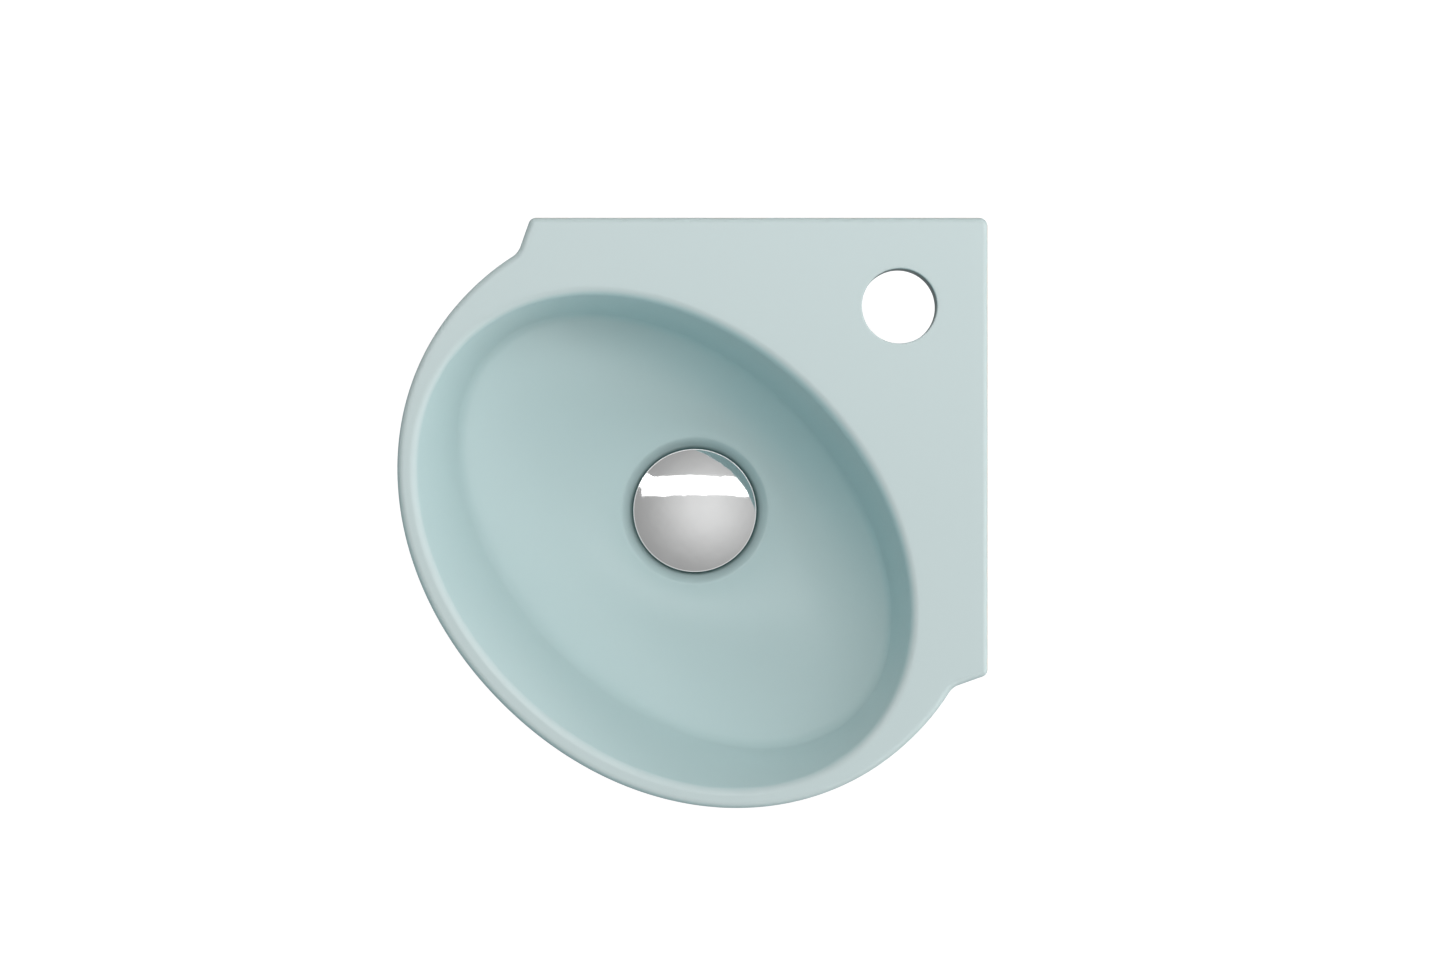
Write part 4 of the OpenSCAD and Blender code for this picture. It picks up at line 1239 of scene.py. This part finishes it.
    def build(self, finishes: dict[Slot, bpy.types.Material]) -> list[Piece]:
        """Builds the waste and its fastenings."""
        skin = Skin()
        self.tube(skin)
        self.spider(skin)
        tube = skin.make("waste_tube", finishes[Slot.CHROME], sharp=32.0)
        rubber, nylon = finishes[Slot.RUBBER], finishes[Slot.NYLON]
        near, far, thick = self.flange_gasket
        low, high = self.flange_z - thick, self.flange_z
        flange = self.ring_piece("flange_ring", [
            (near, low, 0.2), (far, low, 0.2), (far, high, 0.2), (near, high, 0.2)], rubber)
        near, far, collar = self.thread_r + self.ring_gap, self.washer_r, self.under_z + self.collar_h
        lower = self.ring_piece("lower_ring", [
            (near, self.gasket_z, 0.4), (far, self.gasket_z, 1.2), (far, self.under_z, 1.2),
            (self.collar_r, self.under_z, 0.3), (self.collar_r, collar, 0.8), (near, collar, 0.3)], rubber)
        slip = self.ring_piece("slip_ring", [
            (near, self.slip_z, 0.3), (far, self.slip_z, 0.5),
            (far, self.gasket_z, 0.5), (near, self.gasket_z, 0.3)], nylon)
        return [Piece(tube, "basin", Slot.CHROME, ("waste_body",)),
                Piece(flange, "basin", Slot.RUBBER, ("flange_gasket",)),
                Piece(lower, "basin", Slot.RUBBER, ("lower_gasket",)),
                Piece(slip, "basin", Slot.NYLON, ("slip_washer",)),
                Piece(self.backnut(finishes[Slot.BRASS]), "basin", Slot.BRASS, ("backnut",))]


@dataclass
class Plug:
    """The plug's cap: a thin dome with a small rounding and a narrow flat at its edge."""

    at: tuple[float, float] = WASTE_AT
    cap_r: float = 34.0
    cap_z: float = -94.0
    cap_edge: float = 1.6
    cap_rise: float = 5.6
    cap_t: float = 1.4
    edge_r: float = 0.2
    edge_flat: float = 0.3
    foot_r: float = 0.35

    def dome(self, share: Array) -> Array:
        """The dome's profile from its edge, share 0, to the middle, share 1: a circle's arc."""
        big = (self.cap_r ** 2 + self.cap_rise ** 2) / (2 * self.cap_rise)
        reach = (self.cap_r - self.edge_r - self.edge_flat) * (1 - share)
        height = self.cap_z + self.cap_edge + self.cap_rise - big + np.sqrt(big ** 2 - reach ** 2)
        return np.stack([reach, height], axis=-1)

    def cap(self, finish: bpy.types.Material) -> bpy.types.Object:
        """The cap as one closed skin: underside, edge with its rounding and its narrow flat, and dome."""
        dome = self.dome(np.linspace(0, 0.995, 60))
        top = self.cap_z + self.cap_edge + self.cap_rise
        rim = arc((self.cap_r - self.edge_r, dome[0][1] - self.edge_r), self.edge_r, 0, 90, 11)
        inner = self.cap_r - self.cap_t
        under = np.array([[0.4, top - self.cap_t], [inner, self.cap_z + self.cap_edge - self.foot_r],
                          [inner, self.cap_z + 0.25], [inner + 0.25, self.cap_z]])
        foot = arc((self.cap_r - self.foot_r, self.cap_z + self.foot_r), self.foot_r, 270, 360, 9)
        skin = Skin()
        numbers = skin.add_grid(revolved(np.concatenate([under, foot, rim, dome]), 180, self.at))
        skin.add_fan(numbers[-1], np.array([*self.at, top]))
        skin.add_fan(numbers[0], np.array([*self.at, under[0][1]]), flip=True)
        return skin.make("plug_dome", finish, sharp=14.0)

    def build(self, finishes: dict[Slot, bpy.types.Material]) -> Piece:
        """Builds the cap."""
        return Piece(self.cap(finishes[Slot.CHROME]), "plug", Slot.CHROME, ("plug_cap",))


@dataclass
class Spring:
    """The cartridge's wound spring, a round wire carried along its coil."""

    at: tuple[float, float] = WASTE_AT
    low_z: float = -144.45
    coil_r: float = 4.5
    wire_r: float = 0.45
    turns: float = 5.0
    end_turns: float = 0.75
    end_rise: float = 1.35
    span: float = 11.05
    turn_steps: int = 40

    def build(self, finishes: dict[Slot, bpy.types.Material]) -> Piece:
        """Builds the spring: each ring stands square to the helix and its ends are closed."""
        total = self.turns + 2 * self.end_turns
        t = np.linspace(0, total, int(total * self.turn_steps) + 1)
        end = self.end_rise * self.end_turns
        rise = np.interp(t, [0, self.end_turns, total - self.end_turns, total],
                         [0, end, self.span - end, self.span])
        angle = 2 * np.pi * t
        path = round_grid(self.coil_r, angle, self.low_z + self.wire_r + rise, self.at)
        ahead = np.gradient(path, axis=0)
        ahead /= np.linalg.norm(ahead, axis=1, keepdims=True)
        out = round_grid(1.0, angle, 0.0)
        across = np.stack([out, np.cross(ahead, out)], axis=1)
        skin = Skin()
        numbers = skin.add_grid(path[:, None] + self.wire_r * turned(full_turn(14)) @ across)
        skin.add_fan(numbers[0], path[0], flip=True)
        skin.add_fan(numbers[-1], path[-1])
        low = self.low_z + 2 * self.wire_r
        ends = [tuple(MM * v for v in (*self.at, z)) for z in (low, low + self.span - 2 * self.wire_r)]
        return Piece(skin.make("cartridge_spring", finishes[Slot.STEEL]), "basin", Slot.STEEL,
                     ("click_spring",), ("plug", *ends))


@dataclass
class CarriedOver:
    """The model's own solids, those that stay and those that a piece stands for, with their slots."""

    slots: dict[str, Slot] = field(default_factory=lambda: {
        "click_housing": Slot.NYLON, "click_base": Slot.BRASS, "click_plunger": Slot.STEEL,
        "click_rotor": Slot.NYLON, "stem_ring": Slot.RUBBER, "plug_carrier": Slot.NYLON,
        "plug_seal": Slot.RUBBER, "plug_locknut": Slot.BRASS, "basin": Slot.GLAZE,
        "waste_body": Slot.CHROME, "flange_gasket": Slot.RUBBER, "lower_gasket": Slot.RUBBER,
        "slip_washer": Slot.NYLON, "backnut": Slot.BRASS, "plug_cap": Slot.CHROME,
        "click_spring": Slot.STEEL})

    def dress(self, finishes: dict[Slot, bpy.types.Material]) -> None:
        """Assigns the finishes to the solids' material slots."""
        for name, slot in self.slots.items():
            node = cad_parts[name]
            for k in range(max(1, len(node.material_slots))):
                if not node.material_slots:
                    node.data.materials.append(finishes[slot])
                node.material_slots[k].material = finishes[slot]
            LOG.info("%s: dressed in %s", name, slot.value)


# The studio

@dataclass
class Lamp:
    """A soft box: where it stands seen from the basin, how much of the view it fills, and its level.

    Angles are in degrees: turn counts from +X towards +Y, lift from the floor upwards. The level
    is the box's brightness, where 1 is the white background.
    """

    name: str
    turn: float
    lift: float
    wide: float
    tall: float
    level: float
    mirrored: bool = True
    away: float = 2.4
    aim: tuple[float, float, float] = (-0.105, -0.105, -0.05)

    def build(self) -> None:
        """Builds the soft box: its power is its level times pi times its area."""
        data = bpy.data.lights.new(self.name, "AREA")
        data.shape = "RECTANGLE"
        data.size = 2 * self.away * math.tan(math.radians(self.wide / 2))
        data.size_y = 2 * self.away * math.tan(math.radians(self.tall / 2))
        data.energy = self.level * math.pi * data.size * data.size_y
        lamp = bpy.data.objects.new(self.name, data)
        turn, lift = math.radians(self.turn), math.radians(self.lift)
        out = Vector((math.cos(lift) * math.cos(turn), math.cos(lift) * math.sin(turn), math.sin(lift)))
        lamp.location = Vector(self.aim) + self.away * out
        lamp.rotation_euler = (-out).to_track_quat("-Z", "Y").to_euler()
        lamp.visible_camera = False
        lamp.visible_glossy = self.mirrored
        bpy.context.scene.collection.objects.link(lamp)


@dataclass
class Studio:
    """The plain floor, the room's light, the soft boxes and the camera above the basin."""

    height: float = 1.0167
    principal: tuple[float, float] = (-0.0897, -0.0890)
    lens: float = 50.0
    sensor: float = 36.0
    floor_z: float = -0.186
    floor_glow: float = 0.89
    floor_pale: float = 0.25
    floor_mirrored: float = 0.12
    floor_reach: float = 6.0
    clip: tuple[float, float] = (0.05, 20.0)
    horizon: float = 0.4
    ambient: float = 0.26
    overhead: float = 0.36
    glow: float = 0.45
    glow_at: tuple[float, float] = (0.12, 0.02)
    glow_reach: tuple[float, float] = (0.80, 0.775)
    ceiling_span: tuple[float, float] = (0.75, 0.62)
    side_span: tuple[float, float] = (0.55, 0.1)
    lamps: tuple[Lamp, ...] = (
        Lamp("high_right", 22.0, 58.0, 38.0, 41.0, 1.45, mirrored=False),
        Lamp("low_right", 345.0, 9.0, 59.0, 18.0, 3.5, mirrored=False),
        Lamp("top_band", 90.0, 74.2, 70.0, 12.0, 2.9),
        Lamp("band_hook", 151.0, 52.0, 10.0, 15.0, 2.9),
        Lamp("side_front", 310.0, 28.0, 44.0, 20.0, 1.33),
        Lamp("side_right", 0.0, 28.0, 44.0, 20.0, 1.33),
        Lamp("side_back", 50.0, 28.0, 44.0, 20.0, 1.33),
        Lamp("fill_front", 270.0, 48.0, 48.0, 20.0, 0.95, mirrored=False),
        Lamp("fill_back", 113.0, 39.0, 30.0, 40.0, 1.15, mirrored=False))

    def camera(self) -> None:
        """Creates the camera: it looks straight down with +Y up in the picture."""
        data = bpy.data.cameras.new("overhead")
        data.lens, data.sensor_width, data.sensor_fit = self.lens, self.sensor, "HORIZONTAL"
        data.clip_start, data.clip_end = self.clip
        camera = bpy.data.objects.new("overhead", data)
        camera.location = (*self.principal, self.height)
        bpy.context.scene.collection.objects.link(camera)
        bpy.context.scene.camera = camera

    def world(self) -> None:
        """Lights the room: white where it is seen, softer where it only lights.

        What mirrors straight up sees a grey ceiling with one soft glow, and white further down:
        mirrored = overhead + glow * (1 - (distance / reach)^2)^2, faded to 1 below 45 degrees and
        down to a plain level at the horizon.
        """
        world = bpy.data.worlds.new("room")
        bpy.context.scene.world = world
        n = Nodes(world)
        camera, glossy = n.rays()
        way = n.axes(n.spot("Generated"))
        away = [n.math("DIVIDE", n.less(way[k], self.glow_at[k]), self.glow_reach[k]) for k in range(2)]
        soft = n.math("POWER", n.less(1.0, n.squares(*away), clamp=True), 2.0)
        low = n.span(way[2], *self.ceiling_span)
        mirrored = n.plus(n.times(n.plus(self.overhead, n.times(soft, self.glow)), n.less(1.0, low)),
                          n.times(n.span(way[2], *self.side_span, 1.0, self.horizon), low))
        lighting = n.less(1.0, n.most(camera, glossy))
        level = n.plus(n.times(lighting, self.ambient), camera, n.times(glossy, mirrored))
        n.run("ShaderNodeOutputWorld", n.grey("ShaderNodeBackground", 1.0, level))

    def floor(self) -> None:
        """Lays the pale floor: white by its own light where it is seen, and it keeps the shadow.

        From below it is clear, so that the underside shows.
        """
        made = bpy.data.materials.new("pale_floor")
        n = Nodes(made)
        camera, glossy = n.rays()
        seen = n.plus(n.times(camera, self.floor_glow), n.times(glossy, self.floor_mirrored))
        both = n.run("ShaderNodeAddShader", n.grey("ShaderNodeBsdfDiffuse", self.floor_pale),
                     n.grey("ShaderNodeEmission", 1.0, seen))
        below = n.add("ShaderNodeNewGeometry").outputs["Backfacing"]
        clear = n.run("ShaderNodeBsdfTransparent")
        n.run("ShaderNodeOutputMaterial", n.run("ShaderNodeMixShader", below, both, clear))
        mesh = bpy.data.meshes.new("floor")
        corners = [(x * self.floor_reach, y * self.floor_reach, self.floor_z)
                   for x, y in ((-1, -1), (1, -1), (1, 1), (-1, 1))]
        mesh.from_pydata(corners, [], [range(4)])
        mesh.materials.append(made)
        floor = bpy.data.objects.new("floor", mesh)
        bpy.context.scene.collection.objects.link(floor)

    def build(self) -> None:
        """Builds the studio."""
        self.camera()
        self.world()
        self.floor()
        for lamp in self.lamps:
            lamp.build()
        bpy.context.scene.view_settings.view_transform = "Standard"
        LOG.info("studio: %d soft boxes", len(self.lamps))


def main() -> None:
    """Builds the studio and every piece in order."""
    logging.basicConfig(level=logging.INFO, format="%(name)s: %(message)s")
    Studio().build()
    finishes = Finishes().build()
    CarriedOver().dress(finishes)
    pieces = [Casting().build(finishes), *Waste().build(finishes), Plug().build(finishes),
              Spring().build(finishes)]
    for piece in pieces:
        piece.settle()


if __name__ == "__main__":
    main()
